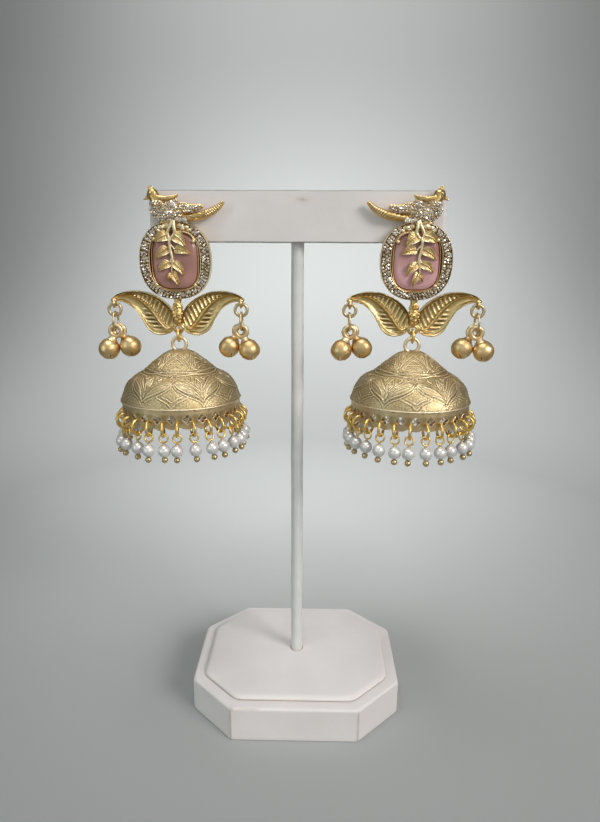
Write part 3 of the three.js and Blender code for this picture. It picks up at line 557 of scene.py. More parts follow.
def grownMesh(name, tree, values, mesh=None):  # runs a tree once and keeps its result as a plain mesh
    host = bpy.data.objects.new(name, mesh or bpy.data.meshes.new(name + "_points"))
    bpy.context.scene.collection.objects.link(host)
    modifier = host.modifiers.new(name, "NODES")
    modifier.node_group = tree
    for item in tree.interface.items_tree:
        if item.in_out == "INPUT" and item.name in values:
            modifier[item.identifier] = values[item.name]
    grown = bpy.data.meshes.new_from_object(host.evaluated_get(bpy.context.evaluated_depsgraph_get()))
    host.modifiers.remove(modifier)
    bpy.data.objects.remove(host)
    return grown


def pattern(name, shape, sharp=30):  # one small shape that a tree repeats, kept out of the scene
    return bpy.data.objects.new(name, meshOf(name, shape.allPoints() * mm, shape.faces, sharp=sharp))


def facingFront(points):
    return np.tile((0.0, -1.0, 0.0), (len(points), 1))


def setOnPoints(name, points, facing, sizes, shape, finish, wobble, seed, body="root", scatter=0.0):
    draw = np.random.default_rng(seed)
    points = np.array(points, float) + draw.normal(0, 1, (len(points), 3)) * scatter * (1, 0.4, 1)
    sizes = np.array(sizes) * (1 + scatter * draw.uniform(-1.4, 1.0, len(sizes)))
    for side in ("left", "right"):
        flip = np.array([-1 if side == "right" else 1, 1, 1])
        mesh = bpy.data.meshes.new(name)
        mesh.from_pydata(toWorld(points, side).tolist(), [], [])
        mesh.attributes.new("facing", "FLOAT_VECTOR", "POINT").data.foreach_set(
            "vector", (np.array(facing, float) * flip).astype(np.float32).ravel())
        mesh.attributes.new("size", "FLOAT", "POINT").data.foreach_set("value", np.array(sizes, np.float32))
        values = {"Shape": shape, "Size": 1.0, "Wobble": wobble, "Seed": seed, "Finish": finish}
        grown = grownMesh(f"{side}_{name}", settingNodes, values, mesh)
        grown.name = f"{side}_{name}"
        addPiece(f"{side}_{name}", grown, body if body == "root" else f"{side}_{body}")


# A small brilliant-cut stone of diameter 1: table, crown facets, girdle and point
def cutStone():
    shape = Shape()
    turns = np.linspace(0, 2 * math.pi, 8, endpoint=False)
    rows = [(0.28, 0.22, 0.0), (0.42, 0.12, 0.5), (0.5, 0.0, 0.0), (0.5, -0.05, 0.0), (0.001, -0.35, 0.0)]
    loops = [[(r * math.cos(t + s * math.pi / 4), r * math.sin(t + s * math.pi / 4), z) for t in turns]
             for r, z, s in rows]  # s turns a row by a share of one facet
    shape.addGrid(np.array(loops), ends=True)
    return shape


def bead(rows=5, columns=8):
    shape = Shape()
    shape.addBall((0, 0, 0), (0.5, 0.5, 0.5), rows=rows, columns=columns)
    return shape


stonePattern = pattern("cutStone", cutStone(), sharp=10)
beadPattern = pattern("bead", bead(), sharp=80)
print("node trees ready")


# Stone and halo
haloLook = {"stoneHalf": (7.55, 9.25), "stonePower": 3.2, "outerHalf": (12.15, 12.85), "outerPower": 2.3,
            "paveHalf": (8.95, 10.3), "pavePower": 2.7, "depth": 3.6, "loops": 200,
            "plate": ((-4.3, 10.8, 1.35), (-2.5, 11.3, 1.6), (-0.4, 11.8, 1.2), (2.0, 11.3, 1.6),
                      (3.8, 10.9, 1.4), (5.2, 9.9, 0.95), (-5.3, 9.8, 0.85), (2.9, 10.3, 0.9))}


def cushion(halfWidth, halfHeight, power, count=None):
    turn = np.linspace(0, 2 * math.pi, count or haloLook["loops"], endpoint=False)
    c, s = np.cos(turn), np.sin(turn)
    x = halfWidth * np.sign(c) * np.abs(c) ** (2 / power)
    z = halfHeight * np.sign(s) * np.abs(s) ** (2 / power)
    return np.stack([x, 0 * x, z], axis=1)


def atDepth(loop, depth):
    return loop - np.array([0, depth, 0])


def stoneLoop(extra):
    return cushion(haloLook["stoneHalf"][0] + extra, haloLook["stoneHalf"][1] + extra, haloLook["stonePower"])


def paveLoop(extra):
    return cushion(haloLook["paveHalf"][0] + extra, haloLook["paveHalf"][1] + extra, haloLook["pavePower"])


def haloLoop(extra):
    return cushion(haloLook["outerHalf"][0] + extra, haloLook["outerHalf"][1] + extra, haloLook["outerPower"])


def buildStone():
    # Each row: how far outside the stone's outline, and how far forward of its seat
    rows = [(-1.4, 0.0), (-0.2, 0.02), (0, 0.35), (0, 0.75), (-0.12, 0.98), (-0.9, 1.62), (-1.15, 1.74),
            (-1.6, 1.8)]
    loops = [atDepth(stoneLoop(extra), seatDepth + depth) for extra, depth in rows]
    middle = stoneLoop(-1.6)
    for share in (0.75, 0.5, 0.25, 0.001):
        loops.append(atDepth(middle * share, seatDepth + 1.8 + 0.12 * (1 - share ** 2)))
    shape = Shape()
    shape.addGrid(np.array([atDepth(stoneLoop(-1.4) * 0.001, seatDepth), *loops]))
    finishes = {side: [rose[side]] for side in rose}
    addPair("rose_stone", shape, finishes, "root", ["stone"], sharp=20)


def buildHalo():
    depth = haloLook["depth"]
    rows = [
        (stoneLoop(-1.0), 0), (stoneLoop(-1.0), 1.5), (stoneLoop(0.14), 1.5), (stoneLoop(0.14), 2.75),
        (stoneLoop(0.18), 2.98), (stoneLoop(0.3), 3.08), (stoneLoop(0.44), 3.02), (stoneLoop(0.52), 2.8),
        (stoneLoop(0.54), 2.1), (paveLoop(-0.52), 2.1), (paveLoop(-0.46), 3.1), (paveLoop(-0.36), 3.42),
        (paveLoop(-0.18), 3.5), (paveLoop(-0.04), 3.38), (paveLoop(0.02), 3.05), (haloLoop(-0.4), 3.0),
        (haloLoop(-0.35), 3.3), (haloLoop(-0.26), depth - 0.1), (haloLoop(-0.15), depth - 0.12),
        (haloLoop(-0.05), 3.25), (haloLoop(0), 2.8), (haloLoop(0), 0.3), (haloLoop(-0.2), 0),
    ]
    shape = Shape()
    shape.addGrid(np.array([atDepth(loop, forward) for loop, forward in rows]), closeRows=True)
    # The bezel rows take the darker bezel finish, partly its own tone and partly painted shade in the recess
    # round the stone
    bezel = range(2 * haloLook["loops"], 13 * haloLook["loops"])
    shape.finish = [int(number in bezel) for number in range(len(shape.finish))]
    # A dark tube in the bezel finish paints the shadow in the gap between the plate and the stone's upper
    # right edge
    paintedShadowTube = curveThrough([(0.6, -3.35, 9.55), (3.4, -3.35, 9.25), (5.6, -3.35, 8.35), (6.9, -3.3, 6.6)], 24)
    shape.addTube(paintedShadowTube, 0.34, finish=1, sides=10)
    for x, z in ((-6.7, 6.9), (6.5, 6.3), (-6.5, -8.0), (6.7, -8.1)):
        shape.addBall((x, -3.5, z), (0.72, 0.75, 0.72))
        shape.addTube([(x * 1.05, -2.0, z * 1.05), (x * 1.04, -3.4, z * 1.03)], 0.55)
    for x, z, radius in haloLook["plate"]:
        shape.addBall((x, -2.9, z), (radius, 0.75, radius * 0.72), rows=12, columns=20)
    shape.addTube([(0, -0.5, 11.2), (0, 15.2, 11.2)], 0.5)
    return shape


def pointsOnLoop(inner, outer, share, count, shift, depth, skip):
    middle = inner * (1 - share) + outer * share
    path = curveThrough(middle[:, [0, 2]], count * 8, closed=True)[::8]
    spots = np.stack([path[:, 0], np.full(len(path), -depth), path[:, 1]], axis=1)
    if shift:
        spots = (spots + np.roll(spots, -1, 0)) / 2
    plain = (spots[:, 2] > 0) & (spots[:, 0] > skip[0]) & (spots[:, 0] < skip[1])
    return spots[~plain]


# Rows of stones: share of the band, count, whether shifted by half a step. Plain is the bare stretch on top
paveLook = {"rows": ((0.15, 60, False), (0.47, 64, True), (0.8, 69, False)), "size": 0.98,
            "plain": (-4.4, 5.2), "beads": ((0.31, 62), (0.63, 66)), "bead": 0.36, "scatter": 0.13}


def buildPave():
    inner, outer = paveLoop(0.0), haloLoop(-0.35)
    rows = [pointsOnLoop(inner, outer, share, count, shift, 3.3, paveLook["plain"])
            for share, count, shift in paveLook["rows"]]
    spots = np.vstack(rows)
    wide = np.abs(spots[:, 0]) / 12.2  # the band is wider at the sides
    sizes = paveLook["size"] * (0.86 + 0.24 * wide)
    setOnPoints("halo_stones", spots, facingFront(spots), sizes, stonePattern, gems, 0.5, 3,
                scatter=paveLook["scatter"])
    beads = np.vstack([pointsOnLoop(inner, outer, share, count, False, 3.32, paveLook["plain"])
                       for share, count in paveLook["beads"]])
    setOnPoints("halo_beads", beads, facingFront(beads), np.full(len(beads), paveLook["bead"]), beadPattern,
                gold["castGold"], 0.0, 4)


# Bird
birdLook = {"depth": -2.1, "voxel": 0.15, "stone": 0.94, "bead": 0.36, "scatter": 0.13, "strokes": 1.0}
birdBodies = (((-1.9, 15.6), (5.1, 2.0, 3.05)), ((-3.6, 16.6), (3.6, 1.9, 2.4)))  # middles and half sizes


def buildBird():
    y = birdLook["depth"]
    cast = Shape()
    for (x, z), halves in birdBodies:
        cast.addBall((x, y, z), halves, rows=24, columns=36)
    neck = curveThrough([(-4.6, y, 17.6), (-5.6, y, 19.4), (-6.5, y, 21.2)], 10)
    cast.addTube(neck, np.linspace(2.2, 1.75, 10), sides=24)
    cast.addBall((-6.7, y, 21.35), (1.95, 1.75, 1.9), rows=20, columns=30)
    cast.addBall((-7.3, y - 1.55, 21.6), (0.42, 0.35, 0.42), rows=10, columns=14)
    beak = curveThrough([(-7.9, y, 20.7), (-9.0, y, 20.0), (-10.0, y, 19.75)], 8)
    cast.addTube(beak, np.linspace(0.95, 0.16, 8), sides=12)
    for top, radius in (((-8.4, y - 0.2, 24.1), 0.6), ((-7.6, y + 0.1, 24.5), 0.55), ((-6.6, y, 24.0), 0.5)):
        foot = (top[0] * 0.35 - 6.7 * 0.65, y, 22.3)
        cast.addTube([foot, top], [radius, 0.12], sides=10)
    wing = curveThrough([(-6.0, y - 0.7, 20.2), (-3.6, y - 0.9, 19.95), (-1.0, y - 0.7, 20.0),
                         (1.9, y - 0.3, 21.2)], 14)
    cast.addTube(wing, [1.1, 1.1, 1.08, 1.05, 1.02, 1.0, 0.98, 0.94, 0.88, 0.8, 0.7, 0.55, 0.38, 0.15],
                 sides=20)
    ridge = curveThrough([(-5.6, y - 1.0, 21.2), (-4.2, y - 1.3, 20.55), (-0.8, y - 1.2, 20.6),
                          (1.6, y - 0.5, 21.3)], 16)
    cast.addTube(ridge, 0.26, sides=10)
    fold = curveThrough([(1.5, y - 0.3, 20.9), (0.9, y - 0.6, 19.9), (2.3, y - 0.4, 18.6),
                         (4.6, y - 0.2, 18.5)], 12)
    cast.addTube(fold, 0.32, sides=10)
    feather = curveThrough([(0.8, y + 0.3, 16.6), (4.0, y + 0.3, 16.9), (7.4, y + 0.3, 17.3),
                            (9.9, y + 0.3, 17.7)], 12)
    cast.addTube(feather, [2.0, 1.95, 1.9, 1.8, 1.65, 1.5, 1.4, 1.25, 1.15, 1.05, 0.95, 0.6], sides=20,
                 flat=0.75)
    tail = curveThrough([(1.6, y, 14.2), (4.2, y, 14.1), (7.2, y, 14.35), (10.2, y, 15.0), (13.0, y, 16.1),
                         (15.0, y, 17.4), (16.5, y, 18.8)], 26)
    thickness = np.interp(np.arange(26), [0, 4, 10, 15, 20, 23, 25], [0.8, 1.05, 1.4, 1.5, 1.2, 0.95, 0.6])
    cast.addTube(tail, thickness, sides=20, flat=1.1)
    cast.addBall((16.4, y, 18.7), (0.72, 0.8, 0.78))
    cast.addBall((-0.8, -1.9, 12.4), (4.6, 1.6, 1.15), rows=20, columns=30)
    cast.addTube([(-4.4, -2.2, 12.3), (-1.6, -2.8, 13.4)], [0.9, 0.7], sides=14)
    cast.addTube([(4.4, -2.2, 12.0), (1.6, -2.6, 13.2)], [0.8, 0.8], sides=14)
    body = fuse(cast, birdLook["voxel"], 4)

    def engrave(points):  # slanting strokes on the tail, fine lines where it joins the body
        changed = points.copy()
        x, z = points[:, 0], points[:, 2]
        along = x + 0.9 * z
        onTail = np.clip((x - 10.6) * 1.5, 0, 1) * (points[:, 1] < y)
        changed[:, 1] -= onTail * 0.16 * np.sin(along * 2 * math.pi / birdLook["strokes"])
        onSmooth = np.clip((x - 3.5) * 0.8, 0, 1) * np.clip((10.6 - x) * 1.5, 0, 1) * (z < 15.6)
        changed[:, 1] -= onSmooth * 0.05 * np.sin((x * 0.3 + z) * 2 * math.pi / 0.8)
        return changed

    return body.moved(engrave)


def birdFront(x, z):  # how far the cast body stands out at a place
    out = [0.0]
    for (midX, midZ), (halfX, halfY, halfZ) in birdBodies:
        out.append(halfY * math.sqrt(max(0.0, 1 - ((x - midX) / halfX) ** 2 - ((z - midZ) / halfZ) ** 2)))
    foot, rise = np.array([-4.6, 17.6]), np.array([-1.9, 3.6])
    share = min(1.0, max(0.0, (np.array([x, z]) - foot) @ rise / (rise @ rise)))
    away = np.linalg.norm(np.array([x, z]) - foot - share * rise)
    out.append(math.sqrt(max(0.0, (2.2 - 0.45 * share) ** 2 - away ** 2)))
    return max(out)


def birdSpots():
    y = birdLook["depth"]
    step = birdLook["stone"]
    spots, facing = [], []
    breast = np.array([(-8.0, 19.2), (-7.8, 17.2), (-7.3, 15.5), (-5.9, 13.6), (-3.8, 12.5), (0.4, 12.4),
                       (2.6, 14.2), (2.4, 17.6), (1.2, 19.0), (-1.7, 19.1), (-5.2, 19.3)])
    plume = np.array([(2.0, 15.2), (5.0, 15.6), (9.6, 16.9), (9.8, 18.3), (5.6, 18.2), (2.2, 18.1)])
    fields = ((breast, (-2.1, 15.7), (5.6, 3.4), 4.25), (plume, (5.4, 16.8), (6.2, 2.3), 3.3))
    for outline, middle, half, front in fields:
        row = 0
        z = outline[:, 1].min()
        while z < outline[:, 1].max():
            x = outline[:, 0].min() + (step / 2 if row % 2 else 0)
            while x < outline[:, 0].max():
                if insideOutline(np.array([[x, z]]), outline)[0]:
                    u, v = (x - middle[0]) / half[0], (z - middle[1]) / half[1]
                    bulge = math.sqrt(max(0.05, 1 - (u * u + v * v) * 0.8))
                    out = max((front + y) * bulge, birdFront(x, z) + 0.05)
                    spots.append((x, y - out, z))
                    facing.append((0.45 * u, -1, 0.55 * v))
                x += step
            z += step * 0.87
            row += 1
    return np.array(spots), np.array(facing)


def insideOutline(points, outline):
    inside = np.zeros(len(points), bool)
    for (x1, z1), (x2, z2) in zip(outline, np.roll(outline, -1, 0)):
        crosses = (z1 > points[:, 1]) != (z2 > points[:, 1])
        with np.errstate(divide="ignore", invalid="ignore"):
            edge = x1 + (points[:, 1] - z1) / (z2 - z1) * (x2 - x1)
        inside ^= crosses & (points[:, 0] < edge)
    return inside


def buildBirdStones():
    spots, facing = birdSpots()
    sizes = np.full(len(spots), birdLook["stone"] * 1.04)
    setOnPoints("bird_stones", spots, facing, sizes, stonePattern, gems, 0.5, 5,
                scatter=birdLook["scatter"])
    big = np.array([(0.35, -4.2, 17.8), (1.3, -4.3, 13.3), (2.5, -4.2, 13.1), (3.75, -4.0, 13.15)])
    setOnPoints("bird_large_stones", big, np.tile((0.0, -1.0, 0.05), (4, 1)), np.array([1.9, 1.5, 1.6, 2.1]),
                stonePattern, gems, 0.1, 6)
    beads = spots + np.array([birdLook["stone"] / 2, -0.08, birdLook["stone"] * 0.29])
    setOnPoints("bird_beads", beads, facing, np.full(len(beads), birdLook["bead"]), beadPattern,
                gold["castGold"], 0, 7)


# Spray of leaves over the stone
sprayLook = {"floor": 3.9, "thickness": 0.32, "ribs": 6, "veinDepth": 0.035}
sprayLeaves = [
    {"base": (-1.6, 8.6), "tip": (-6.3, 5.95), "width": 3.7, "bend": -0.5},
    {"base": (-0.1, 8.7), "tip": (3.8, 4.75), "width": 3.9, "bend": 0.55},
    {"base": (0.1, 3.75), "tip": (5.6, 2.1), "width": 2.9, "bend": 0.7},
    {"base": (-1.7, 4.1), "tip": (-6.5, 0.5), "width": 3.1, "bend": -0.4},
    {"base": (-1.3, -0.4), "tip": (-5.7, -3.7), "width": 2.9, "bend": -0.45},
    {"base": (-0.3, -0.3), "tip": (3.3, -4.8), "width": 2.8, "bend": 0.45},
    {"base": (-1.0, -3.3), "tip": (1.4, -8.4), "width": 2.4, "bend": 0.2},
    {"base": (-1.4, -3.8), "tip": (-2.1, -6.9), "width": 1.3, "bend": 0.1},
]


def leafBlade(shape, leaf, lift):
    base, tip = np.array(leaf["base"]), np.array(leaf["tip"])
    along = tip - base
    length = np.linalg.norm(along)
    side = np.array([-along[1], along[0]]) / length
    t = np.linspace(0, 1, 34)[:, None]
    v = np.linspace(-1, 1, 21)[None, :]
    width = leaf["width"] / 2 * (np.sin(math.pi * t ** 0.62) ** 0.75 * (1 - 0.35 * t) * 1.12 + 0.03)
    bend = leaf["bend"] * np.sin(math.pi * t)
    x = base[0] + along[0] * t + side[0] * (v * width + bend)
    z = base[1] + along[1] * t + side[1] * (v * width + bend)
    cup = 0.62 * np.abs(v) ** 2.2 * np.sin(math.pi * np.clip(t, 0.02, 1)) + 0.34 * np.exp(-(v / 0.11) ** 2)
    veins = sprayLook["veinDepth"] * np.sin((t * sprayLook["ribs"] - np.abs(v) * 0.9) * 2 * math.pi)
    veins = veins * (np.abs(v) > 0.12) * (np.abs(v) < 0.92)
    arch = 0.7 * np.sin(math.pi * t) + 0.15 * t
    front = -(sprayLook["floor"] + lift + arch + cup + veins)
    outer = np.stack(np.broadcast_arrays(x, front, z), axis=-1)
    back = np.stack(np.broadcast_arrays(x, front + sprayLook["thickness"] + 0 * x, z), axis=-1)
    shape.addGrid(np.concatenate([outer, back[:, ::-1]], axis=1), ends=True)


def buildSpray():
    shape = Shape()
    floor = -(sprayLook["floor"] + 0.45)
    stem = curveThrough([(-1.05, floor, 7.6), (-1.35, floor - 0.15, 6.2), (-1.3, floor - 0.1, 4.6),
                         (-1.05, floor, 2.9), (-0.6, floor, 0.9), (-0.75, floor, -1.4),
                         (-1.0, floor, -3.6)], 40)
    shape.addTube(stem, np.interp(np.arange(40), [0, 8, 26, 39], [0.66, 0.54, 0.5, 0.34]), sides=14)
    for swing in (-1, 1):
        strand = curveThrough([(0.1 + 0.2 * swing, floor + 0.2, 12.9),
                               (-0.3 + 0.65 * swing, floor - 0.05, 11.0), (-0.6 + 1.15 * swing, floor, 9.4),
                               (-0.85 + 0.9 * swing, floor, 8.2), (-1.15, floor, 6.9)], 24)
        shape.addTube(strand, np.interp(np.arange(24), [0, 8, 23], [0.62, 0.6, 0.5]), sides=14)
    twigs = (((-1.3, 5.6), (0.3, 3.7), 0.32), ((-0.7, 1.2), (-1.4, -0.5), 0.3),
             ((-0.7, 1.0), (-0.2, -0.4), 0.3))
    for start, end, radius in twigs:
        shape.addTube([(start[0], floor, start[1]), (end[0], floor - 0.1, end[1])], radius, sides=10)
    for number, leaf in enumerate(sprayLeaves):
        leafBlade(shape, leaf, 0.1 * (number % 3))
    return shape


# Post between the leaves: its knobs as place and radius
postLook = {"voxel": 0.16, "knobs": ((-1.5, -2.7, -17.6, 0.72), (-1.2, -2.9, -18.7, 0.66),
                                     (1.3, -2.6, -17.8, 0.6), (0.3, -3.0, -18.0, 0.7),
                                     (0.9, -2.8, -19.2, 0.66), (-0.5, -2.9, -19.8, 0.6),
                                     (-1.1, -2.4, -20.4, 0.5), (0.5, -2.6, -20.7, 0.55))}


# Pair of leaves under the halo, as shares of the half span and the height
leafLook = {"span": 23.2, "top": -10.1, "height": 15.2, "thickness": 1.9, "rows": 168, "columns": 30,
            "upperStep": 1.55, "lowerStep": 1.48, "groove": 0.6, "beads": 42, "bead": 0.46}
leafCurves = {
    "upper": [(1.0, 0.2), (0.9, 0.08), (0.71, 0.0), (0.48, 0.02), (0.28, 0.15), (0.14, 0.32), (0.06, 0.52),
              (0.04, 0.75)],
    "middle": [(1.0, 0.2), (0.87, 0.1), (0.72, 0.1), (0.57, 0.19), (0.39, 0.43), (0.26, 0.72), (0.17, 0.84),
               (0.04, 0.75)],
    "lower": [(1.0, 0.2), (0.92, 0.23), (0.79, 0.27), (0.65, 0.41), (0.55, 0.63), (0.45, 0.89), (0.3, 1.0),
              (0.12, 0.94), (0.04, 0.75)],
}


def leafCurve(name, side):
    top, height = leafLook["top"], leafLook["height"]
    spots = [(side * out * leafLook["span"], top - down * height) for out, down in leafCurves[name]]
    return curveThrough(spots, leafLook["rows"])


def leafSurface(side):
    upper, middle, lower = (leafCurve(name, side) for name in ("upper", "middle", "lower"))
    count = leafLook["columns"]
    v = np.linspace(0, 1, count + 1)
    above = middle[:, None] + (upper - middle)[:, None] * v[None, :, None]
    below = lower[:, None] + (middle - lower)[:, None] * v[None, :, None]
    flat = np.concatenate([below[:, :-1], above], axis=1)
    v = np.concatenate([np.linspace(-1, 0, count, endpoint=False), v])[None, :]
    t = np.linspace(0, 1, leafLook["rows"])[:, None]
    out, down = side * flat[..., 0], -flat[..., 1]
    size = np.abs(v)
    over = v > 0
    alive = np.clip(np.sin(math.pi * t) * 2.5, 0, 1)
    vein = 0.85 * np.exp(-(v / 0.075) ** 2) * np.clip((0.93 - t) * 14, 0, 1) * np.clip((t - 0.06) * 9, 0, 1)
    widths = (np.linalg.norm(edge - middle, axis=1)[:, None] for edge in (upper, lower))
    half = np.where(over, *widths)
    # millimetres from the edge, closer together at the tip
    inwards = (1 - size) * half / np.clip(half / 1.5, 0.5, 1)
    band = np.exp(-((inwards - 0.22) / 0.17) ** 2)
    band = band - 0.8 * np.exp(-((inwards - leafLook["groove"]) / 0.17) ** 2)
    band = 0.95 * (band + 0.9 * np.exp(-((inwards - 1.0) / 0.15) ** 2))
    rim = np.where(over, band * np.clip(half * 1.4, 0, 1), 0.5 * np.exp(-((inwards - 0.35) / 0.3) ** 2))
    across = (0.92 * -out + 0.4 * down) / leafLook["upperStep"]
    strokes = (0.5 + 0.5 * np.cos(2 * math.pi * across)) ** 1.4
    strokes = strokes * np.clip((size - 0.08) * 10, 0, 1) * np.clip((inwards - 1.15) * 3, 0, 1)
    upperRibs = 0.62 * strokes * over * np.clip((t - 0.24) * 9, 0, 1)
    bars = (0.5 + 0.5 * np.cos(2 * math.pi * down / leafLook["lowerStep"])) ** 1.8
    lowerRibs = 0.5 * bars * np.clip((size - 0.16) * 9, 0, 1) * np.clip((0.72 - size) * 8, 0, 1) * ~over
    lowerRibs = lowerRibs * np.clip((t - 0.42) * 8, 0, 1) * np.clip((0.97 - t) * 14, 0, 1)
    dish = -0.65 * np.clip(1 - ((size - 0.4) / 0.38) ** 2, 0, 1)
    relief = (vein + rim + upperRibs + lowerRibs + dish) * alive
    front = leafLook["thickness"] - 0.2 + 0.3 * (1 - v ** 2) + relief
    return flat, front


def buildLeaves():
    shape = Shape()
    for side in (-1, 1):
        flat, front = leafSurface(side)
        outer = np.stack([flat[..., 0], -front, flat[..., 1]], axis=-1)
        back = np.stack([flat[..., 0], np.zeros_like(front) - 0.1, flat[..., 1]], axis=-1)
        edgeHigh = outer[:, -1:] * (1, 0, 1) - (0, 0.9, 0)
        edgeLow = outer[:, :1] * (1, 0, 1) - (0, 0.9, 0)
        shape.addGrid(np.concatenate([outer, edgeHigh, back[:, ::-1], edgeLow], axis=1), ends=True)
    return shape


def buildPost():
    cast = Shape()
    cast.addTube([(0, -1.2, -12.0), (0, -1.4, -14.4), (0, -1.5, -16.8)], [1.35, 1.15, 1.5], sides=20)
    cast.addTube([(0, -1.4, -16.5), (0, -1.5, -18.6), (0, -1.4, -20.4), (0, -1.2, -22.2)],
                 [1.7, 1.75, 1.45, 0.95], sides=24)
    half, z = 1.75, -15.5
    corners = [(-half, -2.1, z), (0, -2.1, z + half * 1.3), (half, -2.1, z), (0, -2.1, z - half * 1.2)]
    under = [(x, -1.0, low) for x, _, low in corners]
    faces = [(0, 1, 4), (1, 2, 4), (2, 3, 4), (3, 0, 4)]
    faces += [(5, 6, 1, 0), (6, 7, 2, 1), (7, 8, 3, 2), (8, 5, 0, 3), (8, 7, 6, 5)]
    cast.addFaces([*corners, (0, -3.5, z), *under], faces)
    cast.addRing((0, -2.2, z), 3.7, 0.6, "xz")
    for x, y, low, radius in postLook["knobs"]:
        cast.addBall((x, y, low), (radius, radius * 0.8, radius), rows=12, columns=18)
    shape = fuse(cast, postLook["voxel"], 5)
    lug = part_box("left_drop_link")[1].z / mm - stoneMiddle.z - 0.5
    shape.addRing((0, -hangDepth, lug), 3.9, 1.0, "xz")
    for side in (-1, 1):
        x, z = side * leafLook["span"] * 0.945, leafLook["top"] - leafLook["height"] * 0.28
        shape.addRing((x, -hangDepth, z), 3.4, 1.05, "yz")
        shape.addBall((x, -hangDepth - 0.1, z + 1.1), (1.15, 1.2, 0.75), rows=12, columns=18)
    return shape


def leafBeads():  # in the groove along each leaf's upper edge
    spots = []
    for side in (-1, 1):
        flat, front = leafSurface(side)
        inwards = np.linalg.norm(flat - flat[:, -1:], axis=2)
        column = len(flat[0]) - 1 - np.argmin(np.abs(inwards[:, ::-1] - leafLook["groove"]), axis=1)
        row = np.arange(len(flat))
        line = np.stack([flat[row, column, 0], -front[row, column] - 0.22, flat[row, column, 1]], axis=1)
        spots.append(curveThrough(line[26:-12:6], leafLook["beads"]))
    return np.vstack(spots)


def buildStud():
    pieces = {"halo": (buildHalo(), "castGold", 0.09), "bird": (buildBird(), "castGold", 0.1),
              "leaf_spray": (buildSpray(), "sprayGold", 0.16),
              "leaf_pair": (buildLeaves(), "leafGold", 0.085),
              "centre_post": (buildPost(), "castGold", 0.3)}
    for name, (shape, finish, reach) in pieces.items():
        addPair(name, shape, [gold[finish], gold["bezelAndShadeGold"]], "root", ["stud"], reach)
    beads = leafBeads()
    setOnPoints("leaf_beads", beads, facingFront(beads), np.full(len(beads), leafLook["bead"]), beadPattern,
                gold["leafGold"], 0, 8)


buildStone()
buildStud()
buildPave()
buildBirdStones()
print("studs ready")


# Bell: outside profile as radius and height in the frame. The ornament is given as degrees and height
# over a sixth of a turn
bellProfile = [(0.01, 139.75), (1.6, 139.72), (3.4, 139.5), (5.75, 138.2), (7.7, 136.7), (9.6, 135.3),
               (10.9, 134.2), (11.9, 133.3), (12.9, 132.5), (14.4, 131.6), (16.0, 130.65), (17.55, 129.25),
               (19.1, 127.0), (20.2, 124.8), (20.75, 123.2), (20.8, 122.8)]
bellLook = {"rows": 113, "columns": 468, "phase": 2.5, "line": 0.165, "lineHeight": 0.17, "grooveDepth": 0.09,
            "pillow": 0.32, "stipple": 0.036, "seed": 11}
bellLines = [
    [(-30, 123.2), (-28, 124.3), (-23.5, 125.6), (-16, 126.7), (-9.5, 127.8), (-4, 128.9), (0, 130.3)],
    [(-30, 124.9), (-27.4, 125.9), (-22, 126.9), (-15, 127.8), (-8.5, 128.8), (-3.4, 129.9), (0, 131.0)],
    [(0, 123.2), (-4, 124.6), (-9, 125.5), (-15.5, 126.5)],
    [(0, 125.0), (-4.5, 125.9), (-10, 126.6)],
    [(-30.5, 126.3), (-29.2, 128.0), (-24, 129.5), (-19, 130.5), (-13, 131.3), (-6, 131.6), (0, 131.2)],
    [(-26, 126.9), (-22.5, 128.3), (-17.5, 129.3), (-11, 130.0), (-5, 130.3)],
    [(-30, 131.9), (-27.4, 130.9), (-26.8, 129.9), (-28.4, 129.0), (-30, 128.0)],
    [(-30, 130.9), (-28.9, 130.2), (-30, 129.4)],
    [(-22, 131.9), (-20, 131.2), (-16.5, 131.8)],
    [(-9, 132.1), (-5.5, 131.9), (-2, 132.2)],
    [(0, 138.9), (-9, 138.3), (-20, 137.3), (-27, 136.1), (-29, 135.0), (-24, 134.2), (-12, 133.9)],
    [(0, 137.5), (-7, 137.0), (-14, 136.2), (-18, 135.3)],
    [(-14, 134.6), (-3, 135.1)],
    [(-12, 136.0), (0, 136.1)],
    [(-30, 138.6), (-34, 137.6), (-30, 136.6)],
    [(-24, 137.9), (-26.5, 138.6)],
]
bellBorder = [[(-30, 133.25), (-15, 133.55), (0, 133.65)], [(-30, 132.95), (-15, 132.65), (0, 132.55)]]
bellPillow = [(-30.5, 126.3), (-29.2, 128.0), (-24, 129.5), (-19, 130.5), (-13, 131.3), (-6, 131.6),
              (0, 130.6), (-4, 129.2), (-9.5, 128.1), (-16, 127.0), (-23.5, 125.9), (-28, 124.9)]


def lineDistance(points, line):
    best = np.full(len(points), 1e9)
    for start, end in zip(line[:-1], line[1:]):
        step = end - start
        share = np.clip(((points - start) @ step) / (step @ step), 0, 1)
        best = np.minimum(best, np.hypot(*(points - start - share[:, None] * step).T))
    return best


